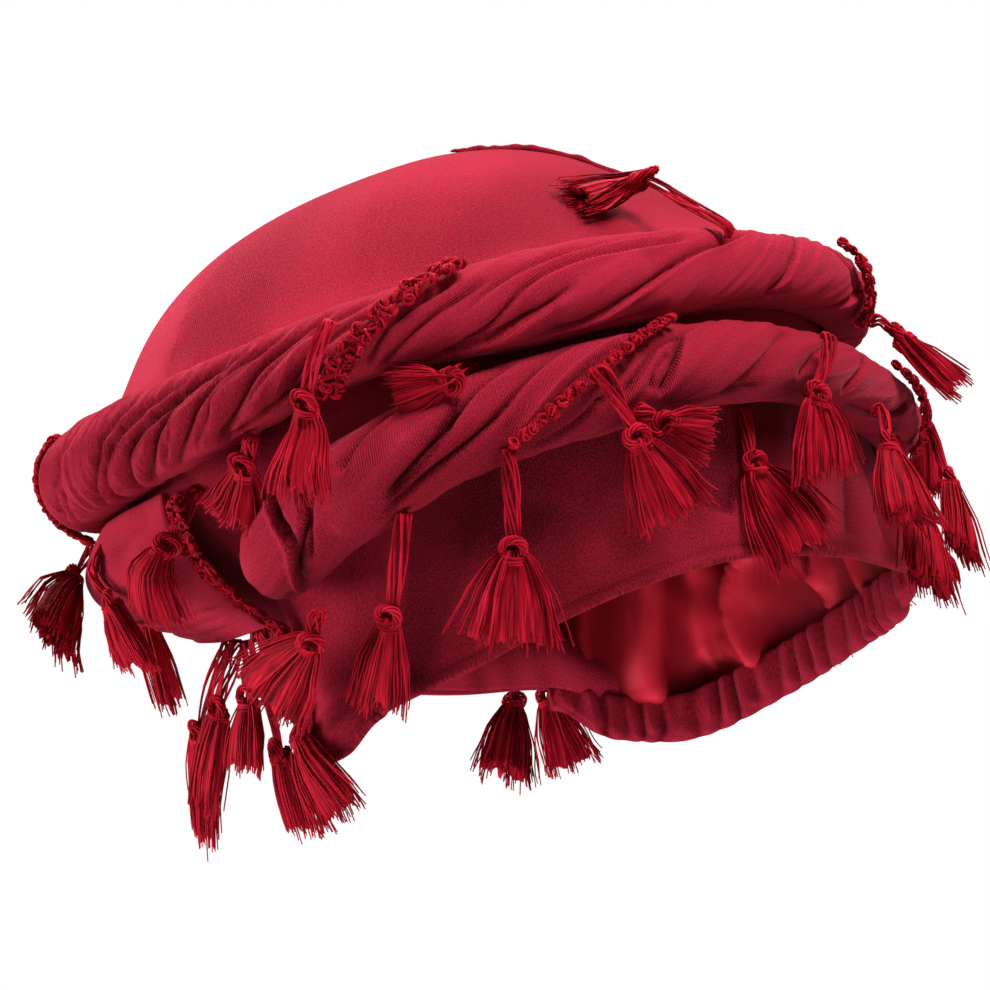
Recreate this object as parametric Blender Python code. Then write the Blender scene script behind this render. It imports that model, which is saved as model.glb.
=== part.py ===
"""Pre-tied turban headband: a lined jersey cap, two twisted scarf rolls, a brow band and tasselled trims.

Units are metres and degrees. +Z is up and the wearer faces -Y. The origin is the middle of the head
opening, at the height of the rim over the ears. An angle runs round the head from the front (0) towards
the wearer's left (90), and a reach is a distance from the upright axis through the origin.
"""

import math
from enum import Enum
from typing import NamedTuple

import bmesh
import bpy
from mathutils import Vector
from mathutils.bvhtree import BVHTree

# Driving dimensions of the cap. It widens up to its shoulder and is a dome above it, whose middle lies lower
OPENING_HALF_WIDTH = 0.077
OPENING_HALF_DEPTH = 0.088
CROWN_HEIGHT = 0.1330
CROWN_SWELL = 0.15
CROWN_LEAN_RIGHT = 0.0095
CROWN_LEAN_FORWARD = 0.0270
RIM_DROP = 0.022
SHOULDER_SHARE = 0.56
DOME_MIDDLE_SHARE = 0.24
SHOULDER_SOFTNESS = 0.06
CAP_WALL = 0.0016
GORES = 6
FIRST_SEAM_ANGLE = -22.0
GORE_FLATNESS = 0.030
LINING_WALL = 0.0010
LINING_FOLD_DEPTH = 0.0042
LINING_FOLDS = 9
LINING_FOLD_START = 0.15
LINING_FOLD_END = 0.45
LINING_FOLD_GONE = 0.95
LINING_WANDER = 2.2

# Driving dimensions of the cloth round the cap
CLOTH_GAP = 0.0008
SEAT_GAP = 0.0003
BAND_WALL = 0.0024
BAND_HEM_SHARE = 0.30
FLAP_STANDOFF = 0.017
WRAP_WALL = 0.0022
WRAP_BULGE = 0.023
ELASTIC_HEIGHT = 0.0115
ELASTIC_THICKNESS = 0.0052
NAPE_PULL = 0.0030
GATHERS = 26
GATHER_DEPTH = 0.0011
UPPER_ROLL_RADIUS = 0.0128
LOWER_ROLL_RADIUS = 0.0125
ROLL_SEAT = 0.50

# Driving dimensions of the trims and tassels
TRIM_WIDTH = 0.0065
TRIM_THICKNESS = 0.0022
SCALLOP_LENGTH = 0.0050
TRIM_OVERHANG = 1.25
PICOT_DEPTH_SHARE = 0.19
TRIM_SLOPE_SHARE = 0.15
TASSEL_CORD = 0.025
TASSEL_CORD_THICKNESS = 0.0026
TASSEL_SKIRT = 0.028
TASSEL_WIDTH = 0.021
TASSEL_THICKNESS = 0.0070
TASSEL_CLEARANCE = 0.0011
TASSEL_WIDTH_GAIN = 0.4

# The brow band leaves the cap from this share of the lower roll's girth below the roll's centre
BAND_RELEASE = 1.10

# A roll's highest folds reach this share of its girth, and the upper roll is flat this far below its centre
FOLD_CREST = 1.06
ROLL_DIVIDE = 0.90

# A roll lies in loose folds up to the first of these twists, and is a tight rope from the second
LOOSE_TWIST = 8.0
TIGHT_TWIST = 18.0

# The lower roll narrows to this share of itself over this many degrees at each end
ROLL_END_SHARE = 0.35
ROLL_END_DEGREES = 5.0

# The side wrap's bulge is this stretch of a half wave: it starts off the cap and turns in again at its hem
WRAP_WAVE_START = 0.10
WRAP_WAVE_SPAN = 0.76

# The elastic casing runs round the nape between these two angles, and its ends narrow to this share
ELASTIC_START = 141.0
ELASTIC_END = 236.0
ELASTIC_END_SHARE = 0.45
ELASTIC_END_GATHERS = 2

# How finely the faceted solids are cut
TRIM_STEP = 0.5 * SCALLOP_LENGTH
SHARP_FROM_DEGREES = 50.0
CAP_COLUMNS_PER_GORE = 6
ROLL_TURN_PER_STATION = 45.0
ROLL_ARC_PER_STATION = 5.5
STRIP_ARC_PER_STATION = 7.0



class Rim(NamedTuple):
    """The rim's height at one angle, as a share of RIM_DROP."""

    angle: float
    height: float


class Lean(NamedTuple):
    """How much of the crown's lean is reached at one share of its height."""

    height: float
    lean: float


class Station(NamedTuple):
    """A roll at one angle: its centre as a share of CROWN_HEIGHT, its girth as a share of its radius, and
    how many degrees it twists for each degree round the head."""

    angle: float
    height: float
    girth: float
    twist: float


class Fold(NamedTuple):
    """A fold line along a roll: where it lies round the section, and its reach in a tight and loose twist."""

    clock: float
    tight: float
    loose: float


class Hem(NamedTuple):
    """A cloth strip at one angle: its top and lower edge as shares of CROWN_HEIGHT, how far it stands off as
    a share of its own standoff, and how many degrees its lower edge lies ahead of its top."""

    angle: float
    top: float
    bottom: float
    standoff: float
    slant: float


RIM = (
    Rim(0, -0.18),
    Rim(22, -0.10),
    Rim(42, 0.12),
    Rim(62, 0.22),
    Rim(80, 0.12),
    Rim(98, -0.10),
    Rim(118, -0.20),
    Rim(142, -0.12),
    Rim(165, -0.24),
    Rim(187, -0.50),
    Rim(208, -0.70),
    Rim(222, -0.50),
    Rim(236, -0.12),
    Rim(255, 0.06),
    Rim(285, 0.32),
    Rim(315, 0.36),
    Rim(342, 0.05),
)

LEANS = (
    Lean(0.00, 0.00),
    Lean(0.20, 0.38),
    Lean(0.45, 0.74),
    Lean(0.62, 0.92),
    Lean(0.80, 1.00),
    Lean(0.90, 0.90),
    Lean(1.00, 0.50),
)

UPPER_ROLL = (
    Station(0, 0.520, 0.86, 20.0),
    Station(20, 0.545, 0.76, 9.0),
    Station(38, 0.540, 0.90, 5.0),
    Station(58, 0.544, 0.88, 5.0),
    Station(78, 0.541, 0.78, 5.0),
    Station(100, 0.528, 0.78, 5.5),
    Station(130, 0.510, 0.80, 6.0),
    Station(180, 0.500, 0.84, 6.0),
    Station(225, 0.515, 0.88, 8.0),
    Station(265, 0.540, 0.92, 14.0),
    Station(310, 0.562, 0.98, 22.0),
    Station(335, 0.530, 0.94, 24.0),
)

LOWER_ROLL = (
    Station(-5, 0.240, 0.62, 3.0),
    Station(2, 0.255, 0.96, 4.0),
    Station(12, 0.300, 0.98, 4.0),
    Station(28, 0.349, 0.92, 5.0),
    Station(48, 0.365, 0.88, 5.0),
    Station(68, 0.366, 0.80, 5.0),
    Station(90, 0.330, 0.74, 5.0),
    Station(112, 0.278, 0.74, 5.5),
    Station(135, 0.260, 0.76, 6.0),
    Station(158, 0.262, 0.74, 6.0),
    Station(178, 0.270, 0.60, 6.0),
)

FOLDS = (
    Fold(0, 1.05, 1.02),
    Fold(34, 1.00, 0.90),
    Fold(70, 0.84, 1.04),
    Fold(106, 0.98, 0.88),
    Fold(150, 1.05, 1.00),
    Fold(188, 0.98, 0.86),
    Fold(222, 0.82, 1.03),
    Fold(262, 1.04, 0.92),
    Fold(300, 1.00, 1.02),
    Fold(330, 0.86, 0.88),
)

BROW_BAND = (
    Hem(-9, 0.19, -0.068, 0.75, -8.0),
    Hem(-5, 0.20, -0.118, 0.82, -6.0),
    Hem(0, 0.22, -0.122, 0.76, -5.0),
    Hem(4, 0.23, -0.080, 0.62, -3.5),
    Hem(9, 0.25, -0.060, 0.42, -2.5),
    Hem(18, 0.30, -0.042, 0.18, -1.0),
    Hem(30, 0.34, -0.008, 0.04, 0.0),
    Hem(46, 0.355, 0.018, 0.00, 0.0),
    Hem(62, 0.360, 0.024, 0.00, 0.0),
    Hem(76, 0.345, 0.008, 0.00, 0.0),
    Hem(92, 0.315, -0.020, 0.00, 0.0),
    Hem(106, 0.285, -0.050, 0.00, 0.0),
    Hem(122, 0.265, -0.052, 0.00, 0.0),
    Hem(138, 0.255, -0.032, 0.00, 0.0),
)

SIDE_WRAP = (
    Hem(184, 0.42, 0.130, 0.35, 0.0),
    Hem(210, 0.43, 0.120, 0.55, 0.0),
    Hem(230, 0.44, 0.140, 0.62, 0.0),
    Hem(250, 0.45, 0.190, 0.72, 0.0),
    Hem(270, 0.46, 0.260, 0.86, 0.0),
    Hem(290, 0.47, 0.295, 1.00, 0.0),
    Hem(305, 0.47, 0.270, 1.05, 0.0),
    Hem(320, 0.46, 0.210, 1.00, 0.0),
    Hem(335, 0.44, 0.165, 0.80, 0.0),
    Hem(348, 0.43, 0.150, 0.45, 0.0),
)


def between(rows, where, column, period=None):
    """A table's column at a place between its rows, on a smooth curve through them."""
    places = [row[0] for row in rows]
    values = [getattr(row, column) for row in rows]
    if period is not None:
        where = (where - places[0]) % period + places[0]
        places = [places[-1] - period, *places, places[0] + period, places[1] + period]
        values = [values[-1], *values, values[0], values[1]]
    if where <= places[0]:
        return values[0]
    if where >= places[-1]:
        return values[-1]
    index = next(i for i in range(len(places) - 1) if where <= places[i + 1])
    span = places[index + 1] - places[index]
    share = (where - places[index]) / span
    slopes = []
    for i in (index, index + 1):
        before, after = max(i - 1, 0), min(i + 1, len(places) - 1)
        slopes.append((values[after] - values[before]) / (places[after] - places[before]) * span)
    start, end = values[index], values[index + 1]
    return (
        (2 * share**3 - 3 * share**2 + 1) * start
        + (share**3 - 2 * share**2 + share) * slopes[0]
        + (3 * share**2 - 2 * share**3) * end
        + (share**3 - share**2) * slopes[1]
    )


def ease(share):
    """0 to 1 with a level start and end."""
    share = min(max(share, 0.0), 1.0)
    return share * share * (3 - 2 * share)


def place(angle, reach, height):
    """A point at an angle round the head, a distance from the axis and a height."""
    turn = math.radians(angle)
    return Vector((reach * math.sin(turn), -reach * math.cos(turn), height))


def ellipse_reach(angle, half_width, half_depth, centre_x, centre_y):
    """The distance from the axis to an ellipse whose centre is off that axis."""
    turn = math.radians(angle)
    across, along = math.sin(turn), -math.cos(turn)
    a = (across / half_width) ** 2 + (along / half_depth) ** 2
    b = -2 * (across * centre_x / half_width**2 + along * centre_y / half_depth**2)
    c = (centre_x / half_width) ** 2 + (centre_y / half_depth) ** 2 - 1
    return (-b + math.sqrt(max(b * b - 4 * a * c, 0.0))) / (2 * a)


def cap_width_share(level):
    """The cap's half width at a share of its height, as a share of the opening's."""
    straight = 1 + CROWN_SWELL * ease(level / SHOULDER_SHARE)
    at_shoulder = (SHOULDER_SHARE - DOME_MIDDLE_SHARE) / (1 - DOME_MIDDLE_SHARE)
    share = min(max((level - DOME_MIDDLE_SHARE) / (1 - DOME_MIDDLE_SHARE), 0.0), 1.0)
    dome = (1 + CROWN_SWELL) * math.sqrt((1 - share**2) / (1 - at_shoulder**2))
    near = max(SHOULDER_SOFTNESS - abs(straight - dome), 0.0) / SHOULDER_SOFTNESS
    return min(straight, dome) - 0.25 * SHOULDER_SOFTNESS * near**2


def gore_dip(angle, level):
    """How much flatter the cloth lies between two gore seams than at a seam."""
    across = (angle - FIRST_SEAM_ANGLE) * GORES / 360.0
    domed = ease((level - DOME_MIDDLE_SHARE) / (1 - DOME_MIDDLE_SHARE))
    return GORE_FLATNESS * math.sin(math.pi * across) ** 2 * domed


def reach_at_level(angle, level, inset=0.0):
    """The distance from the axis to the cap's outer face at a share of its height, or to a face inside it."""
    share = cap_width_share(level)
    lean = between(LEANS, level, "lean")
    reach = ellipse_reach(
        angle,
        max(OPENING_HALF_WIDTH * share - inset, inset),
        max(OPENING_HALF_DEPTH * share - inset, inset),
        -CROWN_LEAN_RIGHT * lean,
        -CROWN_LEAN_FORWARD * lean,
    )
    return reach * (1 - gore_dip(angle, level))


def rim_height(angle):
    """The height of the cap's lower edge."""
    return RIM_DROP * between(RIM, angle, "height", 360.0)


def height_at_level(angle, level):
    """The height at a share of the way from the rim to the crown. The rim's own height fades out upwards."""
    return rim_height(angle) * (1 - level) ** 3 + CROWN_HEIGHT * level


def cap_reach(angle, height):
    """The distance from the axis to the cap's outer face at a height."""
    level = height / CROWN_HEIGHT
    for _ in range(3):
        level = min(max(level + (height - height_at_level(angle, level)) / CROWN_HEIGHT, 0.0), 0.9999)
    return reach_at_level(angle, level)


class Roll(NamedTuple):
    """A twisted scarf roll: its stations, its radius, how far it is kept off the cap, and whether it is a
    whole ring."""

    rows: tuple
    radius: float
    padding: float
    closed: bool


UPPER = Roll(UPPER_ROLL, UPPER_ROLL_RADIUS, 2 * CLOTH_GAP, True)
LOWER = Roll(LOWER_ROLL, LOWER_ROLL_RADIUS, BAND_WALL + 2 * CLOTH_GAP, False)


def roll_value(roll, angle, column):
    """A column of a roll's stations at an angle."""
    return between(roll.rows, angle, column, 360.0 if roll.closed else None)


def roll_centre(roll, angle):
    """(reach, height, girth) of a roll's section at an angle."""
    girth = roll.radius * roll_value(roll, angle, "girth")
    height = CROWN_HEIGHT * roll_value(roll, angle, "height")
    reach = cap_reach(angle, height) + roll.padding + ROLL_SEAT * girth
    return reach, height, girth


def divide_height(angle):
    """The height of the face where the upper roll ends and what lies under it may begin."""
    _, height, girth = roll_centre(UPPER, angle)
    return height - ROLL_DIVIDE * girth


def twist_angles(roll, start, end):
    """Angles from start to end, close together where the roll twists fast, each with its turn so far."""
    angles, turns = [start], [0.0]
    while angles[-1] < end - 1e-6:
        rate = roll_value(roll, angles[-1], "twist")
        step = min(ROLL_TURN_PER_STATION / rate, ROLL_ARC_PER_STATION)
        following = min(angles[-1] + step, end)
        turns.append(turns[-1] + rate * (following - angles[-1]))
        angles.append(following)
    return angles, turns


def tightness(roll, angle):
    """1 where the roll is twisted tight like a rope, 0 where it lies in long loose folds."""
    return ease((roll_value(roll, angle, "twist") - LOOSE_TWIST) / (TIGHT_TWIST - LOOSE_TWIST))


def roll_point(roll, angle, clock, swell, thin=1.0):
    """A point of a roll's section. Clock 0 is outwards and 90 is up, and swell is its share of the girth."""
    reach, height, girth = roll_centre(roll, angle)
    turn = math.radians(clock)
    out = reach + girth * thin * swell * math.cos(turn)
    up = height + girth * thin * swell * math.sin(turn)
    divide = divide_height(angle)
    up = max(up, divide) if roll is UPPER else min(up, divide - CLOTH_GAP)
    out = max(out, cap_reach(angle, up) + roll.padding)
    return place(angle, out, up)


def roll_surface(roll, angle, clock, lift):
    """A point a little off the highest folds of a roll."""
    reach, height, girth = roll_centre(roll, angle)
    turn = math.radians(clock)
    out = girth * FOLD_CREST + lift
    return reach + out * math.cos(turn), height + out * math.sin(turn)


def surface_of(*meshes):
    """What a piece may rest on: the faces of some finished meshes, to be asked for their nearest point."""
    points, faces = [], []
    for mesh in meshes:
        first = len(points)
        points += [vert.co for vert in mesh.vertices]
        faces += [[first + i for i in face.vertices] for face in mesh.polygons]
    return BVHTree.FromPolygons(points, faces)


def shift_to_seat(rings, surface):
    """The shift that brings rings of points, or what lies between them, to a seat SEAT_GAP off a surface."""
    points = []
    for ring, following in zip(rings, [*rings[1:], rings[-1]]):
        middle = sum(ring, Vector()) / len(ring)
        for i, point in enumerate(ring):
            points += [point, (point + ring[i - 1]) / 2, (point + middle) / 2, (point + following[i]) / 2]
        points.append(middle)
    nearest = min(points, key=lambda point: surface.find_nearest(point)[3])
    spot, _, _, distance = surface.find_nearest(nearest)
    return (spot - nearest) * (1 - SEAT_GAP / distance)


def finished(name, bm):
    """The mesh in triangles, facing outwards, with its round stretches shaded smooth."""
    bmesh.ops.triangulate(bm, faces=bm.faces)
    bmesh.ops.recalc_face_normals(bm, faces=bm.faces)
    if bm.calc_volume(signed=True) < 0:
        bmesh.ops.reverse_faces(bm, faces=bm.faces)
    mesh = bpy.data.meshes.new(name)
    bm.to_mesh(mesh)
    bm.free()
    mesh.shade_smooth()
    mesh.set_sharp_from_angle(angle=math.radians(SHARP_FROM_DEGREES))
    return mesh


def joined_rings(name, rings, closed_along=False, wall_ends=False):
    """A closed mesh through rings of points. Its ends are fans, or strips where each ring is a thin wall."""
    bm = bmesh.new()
    rows = [[bm.verts.new(point) for point in ring] for ring in rings]
    around = len(rings[0])
    pairs = list(zip(rows, rows[1:]))
    if closed_along:
        pairs.append((rows[-1], rows[0]))
    for low, high in pairs:
        for i in range(around):
            j = (i + 1) % around
            bm.faces.new((low[i], low[j], high[j], high[i]))
    if not closed_along:
        for row in (rows[0], rows[-1]):
            if wall_ends:
                half = around // 2
                for i in range(half - 1):
                    bm.faces.new((row[i], row[i + 1], row[around - 2 - i], row[around - 1 - i]))
            else:
                middle = bm.verts.new(sum((vert.co for vert in row), Vector()) / around)
                for i in range(around):
                    bm.faces.new((row[i], row[(i + 1) % around], middle))
    return finished(name, bm)


def add_piece(name, mesh, material):
    """One named object that shows the mesh in the material."""
    mesh.materials.append(material)
    piece = bpy.data.objects.new(name, mesh)
    bpy.context.scene.collection.objects.link(piece)
    return piece


def cloth(name, colour, roughness):
    """A cloth's material: its colour and roughness, with no metal in it."""
    material = bpy.data.materials.new(name)
    material.use_nodes = True
    shader = material.node_tree.nodes["Principled BSDF"]
    shader.inputs["Base Color"].default_value = (*colour, 1.0)
    shader.inputs["Roughness"].default_value = roughness
    shader.inputs["Metallic"].default_value = 0.0
    return material


def cap_levels():
    """Shares of the cap's height for its rows: even up to the shoulder, and then even round the dome."""
    straight, domed = 4, 6
    levels = [SHOULDER_SHARE * i / straight for i in range(straight)]
    start = math.asin((SHOULDER_SHARE - DOME_MIDDLE_SHARE) / (1 - DOME_MIDDLE_SHARE))
    for i in range(domed):
        turn = start + (math.pi / 2 - start) * i / domed
        levels.append(DOME_MIDDLE_SHARE + (1 - DOME_MIDDLE_SHARE) * math.sin(turn))
    return levels


def cap_ring(level, columns, inset, folds=0.0, lift=0.0):
    """A ring of the cap, or of what lines it."""
    ring = []
    for i in range(columns):
        angle = FIRST_SEAM_ANGLE + 360.0 * i / columns
        height = height_at_level(angle, level) + lift * (1 - level) ** 3 - inset * level**2
        reach = reach_at_level(angle, level, inset + folds * lining_fold(angle, level))
        ring.append(place(angle, reach, height))
    return ring


def lining_fold(angle, level):
    """The satin's folds, deepest a little above the rim, from 0 on the cap to 1 at a crest."""
    wander = LINING_WANDER * math.sin(math.radians(angle))
    wave = 0.5 + 0.5 * math.sin(math.radians(angle * LINING_FOLDS) + wander)
    fade = (LINING_FOLD_GONE - level) / (LINING_FOLD_GONE - LINING_FOLD_END)
    return wave * ease(level / LINING_FOLD_START) * ease(fade)


def crown_cap():
    """The jersey cap: a domed wall in gores, open below."""
    columns = GORES * CAP_COLUMNS_PER_GORE
    outer = [cap_ring(level, columns, 0.0) for level in cap_levels()]
    inner = [cap_ring(level, columns, CAP_WALL) for level in cap_levels()]
    return joined_rings("crown_cap", [*reversed(inner), *outer])


def satin_lining():
    """The satin shell inside the cap, with soft folds and its lower edge just above the rim."""
    columns = 4 * LINING_FOLDS
    levels = cap_levels()
    near = CAP_WALL + CLOTH_GAP
    outer = [cap_ring(level, columns, near, LINING_FOLD_DEPTH, CLOTH_GAP) for level in levels]
    inner = [cap_ring(level, columns, near + LINING_WALL, LINING_FOLD_DEPTH, CLOTH_GAP) for level in levels]
    return joined_rings("satin_lining", [*reversed(inner), *outer])


def strip_angles(start, end):
    """Even angles from start to end."""
    count = math.ceil((end - start) / STRIP_ARC_PER_STATION)
    return [start + (end - start) * i / count for i in range(count + 1)]


def band_point(angle, share, depth):
    """A point of the brow band: share runs from its top to its lower edge, depth from its inner face out."""
    top = CROWN_HEIGHT * between(BROW_BAND, angle, "top")
    bottom = CROWN_HEIGHT * between(BROW_BAND, angle, "bottom")
    height = top + (bottom - top) * share
    turned = angle + between(BROW_BAND, angle, "slant") * share
    _, roll_height, girth = roll_centre(LOWER, max(turned, LOWER.rows[0].angle))
    release = roll_height - BAND_RELEASE * girth
    free = ease((release - height) / (release - bottom))
    standoff = FLAP_STANDOFF * between(BROW_BAND, angle, "standoff") * free
    return turned, cap_reach(turned, max(height, rim_height(turned))) + CLOTH_GAP + standoff + depth, height


def brow_band():
    """The smooth folded band over the brow and the left side, with its hanging front flap."""
    rings = []
    rows = 5
    fine = [row.angle for row in BROW_BAND[:6]]
    for angle in fine + strip_angles(fine[-1], BROW_BAND[-1].angle)[1:]:
        outer, inner = [], []
        for i in range(rows):
            tuck = 0.5 * (1 - BAND_HEM_SHARE) * BAND_WALL if i == rows - 1 else 0.0
            outer.append(place(*band_point(angle, i / (rows - 1), BAND_WALL - tuck)))
            inner.append(place(*band_point(angle, i / (rows - 1), tuck)))
        rings.append([*outer, *reversed(inner)])
    return joined_rings("brow_band", rings, wall_ends=True)


def wrap_edges(angle):
    """The heights of the side wrap's top, under the upper roll, and of its hem."""
    top = min(CROWN_HEIGHT * between(SIDE_WRAP, angle, "top"), divide_height(angle) - CLOTH_GAP)
    return top, CROWN_HEIGHT * between(SIDE_WRAP, angle, "bottom")


def wrap_point(angle, share, depth):
    """A point of the side wrap: share runs from its top to its hem, depth from its inner face outwards."""
    top, bottom = wrap_edges(angle)
    height = top + (bottom - top) * share
    bulge = WRAP_BULGE * between(SIDE_WRAP, angle, "standoff")
    wave = math.sin(math.pi * (WRAP_WAVE_START + WRAP_WAVE_SPAN * share))
    return angle, cap_reach(angle, height) + CLOTH_GAP + bulge * wave + depth, height


def side_wrap():
    """The smooth scarf layer on the right side and the back: a hollow bulge that turns in at its hem."""
    rings = []
    rows = 6
    for angle in strip_angles(SIDE_WRAP[0].angle, SIDE_WRAP[-1].angle):
        outer = [place(*wrap_point(angle, i / (rows - 1), WRAP_WALL)) for i in range(rows)]
        inner = [place(*wrap_point(angle, i / (rows - 1), 0.0)) for i in range(rows)]
        rings.append([*outer, *reversed(inner)])
    return joined_rings("side_wrap", rings, wall_ends=True)


def nape_elastic():
    """The gathered casing of the elastic round the nape, under the cap's edge."""
    section = 8
    rings = []
    steps = 2 * GATHERS
    for i in range(steps + 1):
        angle = ELASTIC_START + (ELASTIC_END - ELASTIC_START) * i / steps
        swell = GATHER_DEPTH if i % 2 else -GATHER_DEPTH
        fade = ease(i / (2 * ELASTIC_END_GATHERS)) * ease((steps - i) / (2 * ELASTIC_END_GATHERS))
        top = rim_height(angle) - CLOTH_GAP
        half = 0.5 * ELASTIC_HEIGHT * (ELASTIC_END_SHARE + (1 - ELASTIC_END_SHARE) * fade)
        reach = cap_reach(angle, 0.0) - 0.5 * CAP_WALL - NAPE_PULL * fade
        ring = []
        for k in range(section):
            turn = 2 * math.pi * k / section + math.pi / section
            out = (0.5 * ELASTIC_THICKNESS + swell) * math.cos(turn)
            up = min((half + 0.5 * swell) * math.sin(turn) / math.cos(math.pi / section), half)
            ring.append(place(angle, reach + out, top - half + up))
        rings.append(ring)
    return joined_rings("nape_elastic", rings)


def roll_ring(roll, angle, turn, thin=1.0):
    """One section of a roll, whose fold lines turn with the twist."""
    tight = tightness(roll, angle)
    return [
        roll_point(roll, angle, fold.clock + turn, fold.tight * tight + fold.loose * (1 - tight), thin)
        for fold in FOLDS
    ]


def upper_twist():
    """The upper roll, a closed ring round the cap."""
    angles, turns = twist_angles(UPPER, 0.0, 360.0)
    whole = 360.0 * round(turns[-1] / 360.0)
    rings = [roll_ring(UPPER, a, t * whole / turns[-1]) for a, t in zip(angles[:-1], turns)]
    return joined_rings("upper_twist", rings, closed_along=True)


def lower_twist():
    """The lower roll, from its tuck at the front round the left side to the back."""
    start, end = LOWER_ROLL[0].angle, LOWER_ROLL[-1].angle
    angles, turns = twist_angles(LOWER, start, end)
    rings = []
    for angle, turn in zip(angles, turns):
        nearest = min(angle - start, end - angle)
        rounded = math.sqrt(1 - (1 - min(nearest / ROLL_END_DEGREES, 1.0)) ** 2)
        rings.append(roll_ring(LOWER, angle, turn, ROLL_END_SHARE + (1 - ROLL_END_SHARE) * rounded))
    return joined_rings("lower_twist", rings)


def roll_reach(roll, angle, height):
    """A roll's outer face at an angle and a height, or 0 where the roll isn't."""
    first, last = roll.rows[0].angle, roll.rows[-1].angle
    if not roll.closed and not first - 1 <= angle <= last + 1:
        return 0.0
    reach, middle, girth = roll_centre(roll, angle)
    girth *= FOLD_CREST
    rise = height - middle
    return reach + math.sqrt(girth**2 - rise**2) if abs(rise) < girth else 0.0


def cloth_reach(angle, height):
    """The outermost cloth at an angle and a height: the cap, the band, the wrap or a roll."""
    angle = (angle + 20.0) % 360.0 - 20.0
    reach = 0.0
    rim = rim_height(angle)
    if rim - ELASTIC_HEIGHT <= height < CROWN_HEIGHT:
        reach = cap_reach(angle, height)
    if height < rim + CLOTH_GAP and ELASTIC_START <= angle <= ELASTIC_END:
        reach += 0.5 * ELASTIC_THICKNESS + GATHER_DEPTH
    if BROW_BAND[0].angle + BROW_BAND[0].slant <= angle <= BROW_BAND[-1].angle:
        ahead = angle - between(BROW_BAND, angle, "slant")
        top = CROWN_HEIGHT * between(BROW_BAND, ahead, "top")
        bottom = CROWN_HEIGHT * between(BROW_BAND, ahead, "bottom")
        share = (top - height) / (top - bottom)
        if -0.02 <= share <= 1.05:
            reach = max(reach, band_point(ahead, min(max(share, 0.0), 1.0), BAND_WALL)[1])
    if SIDE_WRAP[0].angle <= angle % 360.0 <= SIDE_WRAP[-1].angle:
        top, bottom = wrap_edges(angle % 360.0)
        share = (top - height) / (top - bottom)
        if -0.02 <= share <= 1.05:
            reach = max(reach, wrap_point(angle % 360.0, min(max(share, 0.0), 1.0), WRAP_WALL)[1])
    elif 0 < angle % 360.0 - SIDE_WRAP[-1].angle < math.degrees(TRIM_WIDTH / OPENING_HALF_DEPTH):
        top, bottom = wrap_edges(SIDE_WRAP[-1].angle)
        share = min(max((top - height) / (top - bottom), 0.0), 1.0)
        if height > bottom - (TRIM_OVERHANG - 1) * (top - bottom) - CLOTH_GAP and height < top:
            reach = max(reach, wrap_point(SIDE_WRAP[-1].angle, share, CLOTH_GAP + TRIM_THICKNESS)[1])
    return max(reach, roll_reach(UPPER, angle, height), roll_reach(LOWER, angle, height))


class Carrier(Enum):
    """What a tassel or a trim hangs on."""

    UPPER = "upper roll"
    LOWER = "lower roll"
    HEM = "side wrap's hem"


class Tassel(NamedTuple):
    """A tassel: where its root is, its cord's length as a share of TASSEL_CORD and its lean from straight
    down in degrees, its skirt's length as a share of TASSEL_SKIRT and lean, how far it swings outwards for
    each unit of length where it hangs free, and how many tassels it lies on."""

    carrier: Carrier
    angle: float
    clock: float
    cord: float
    lean: float
    skirt: float
    sway: float
    swing: float
    layer: float


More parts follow.
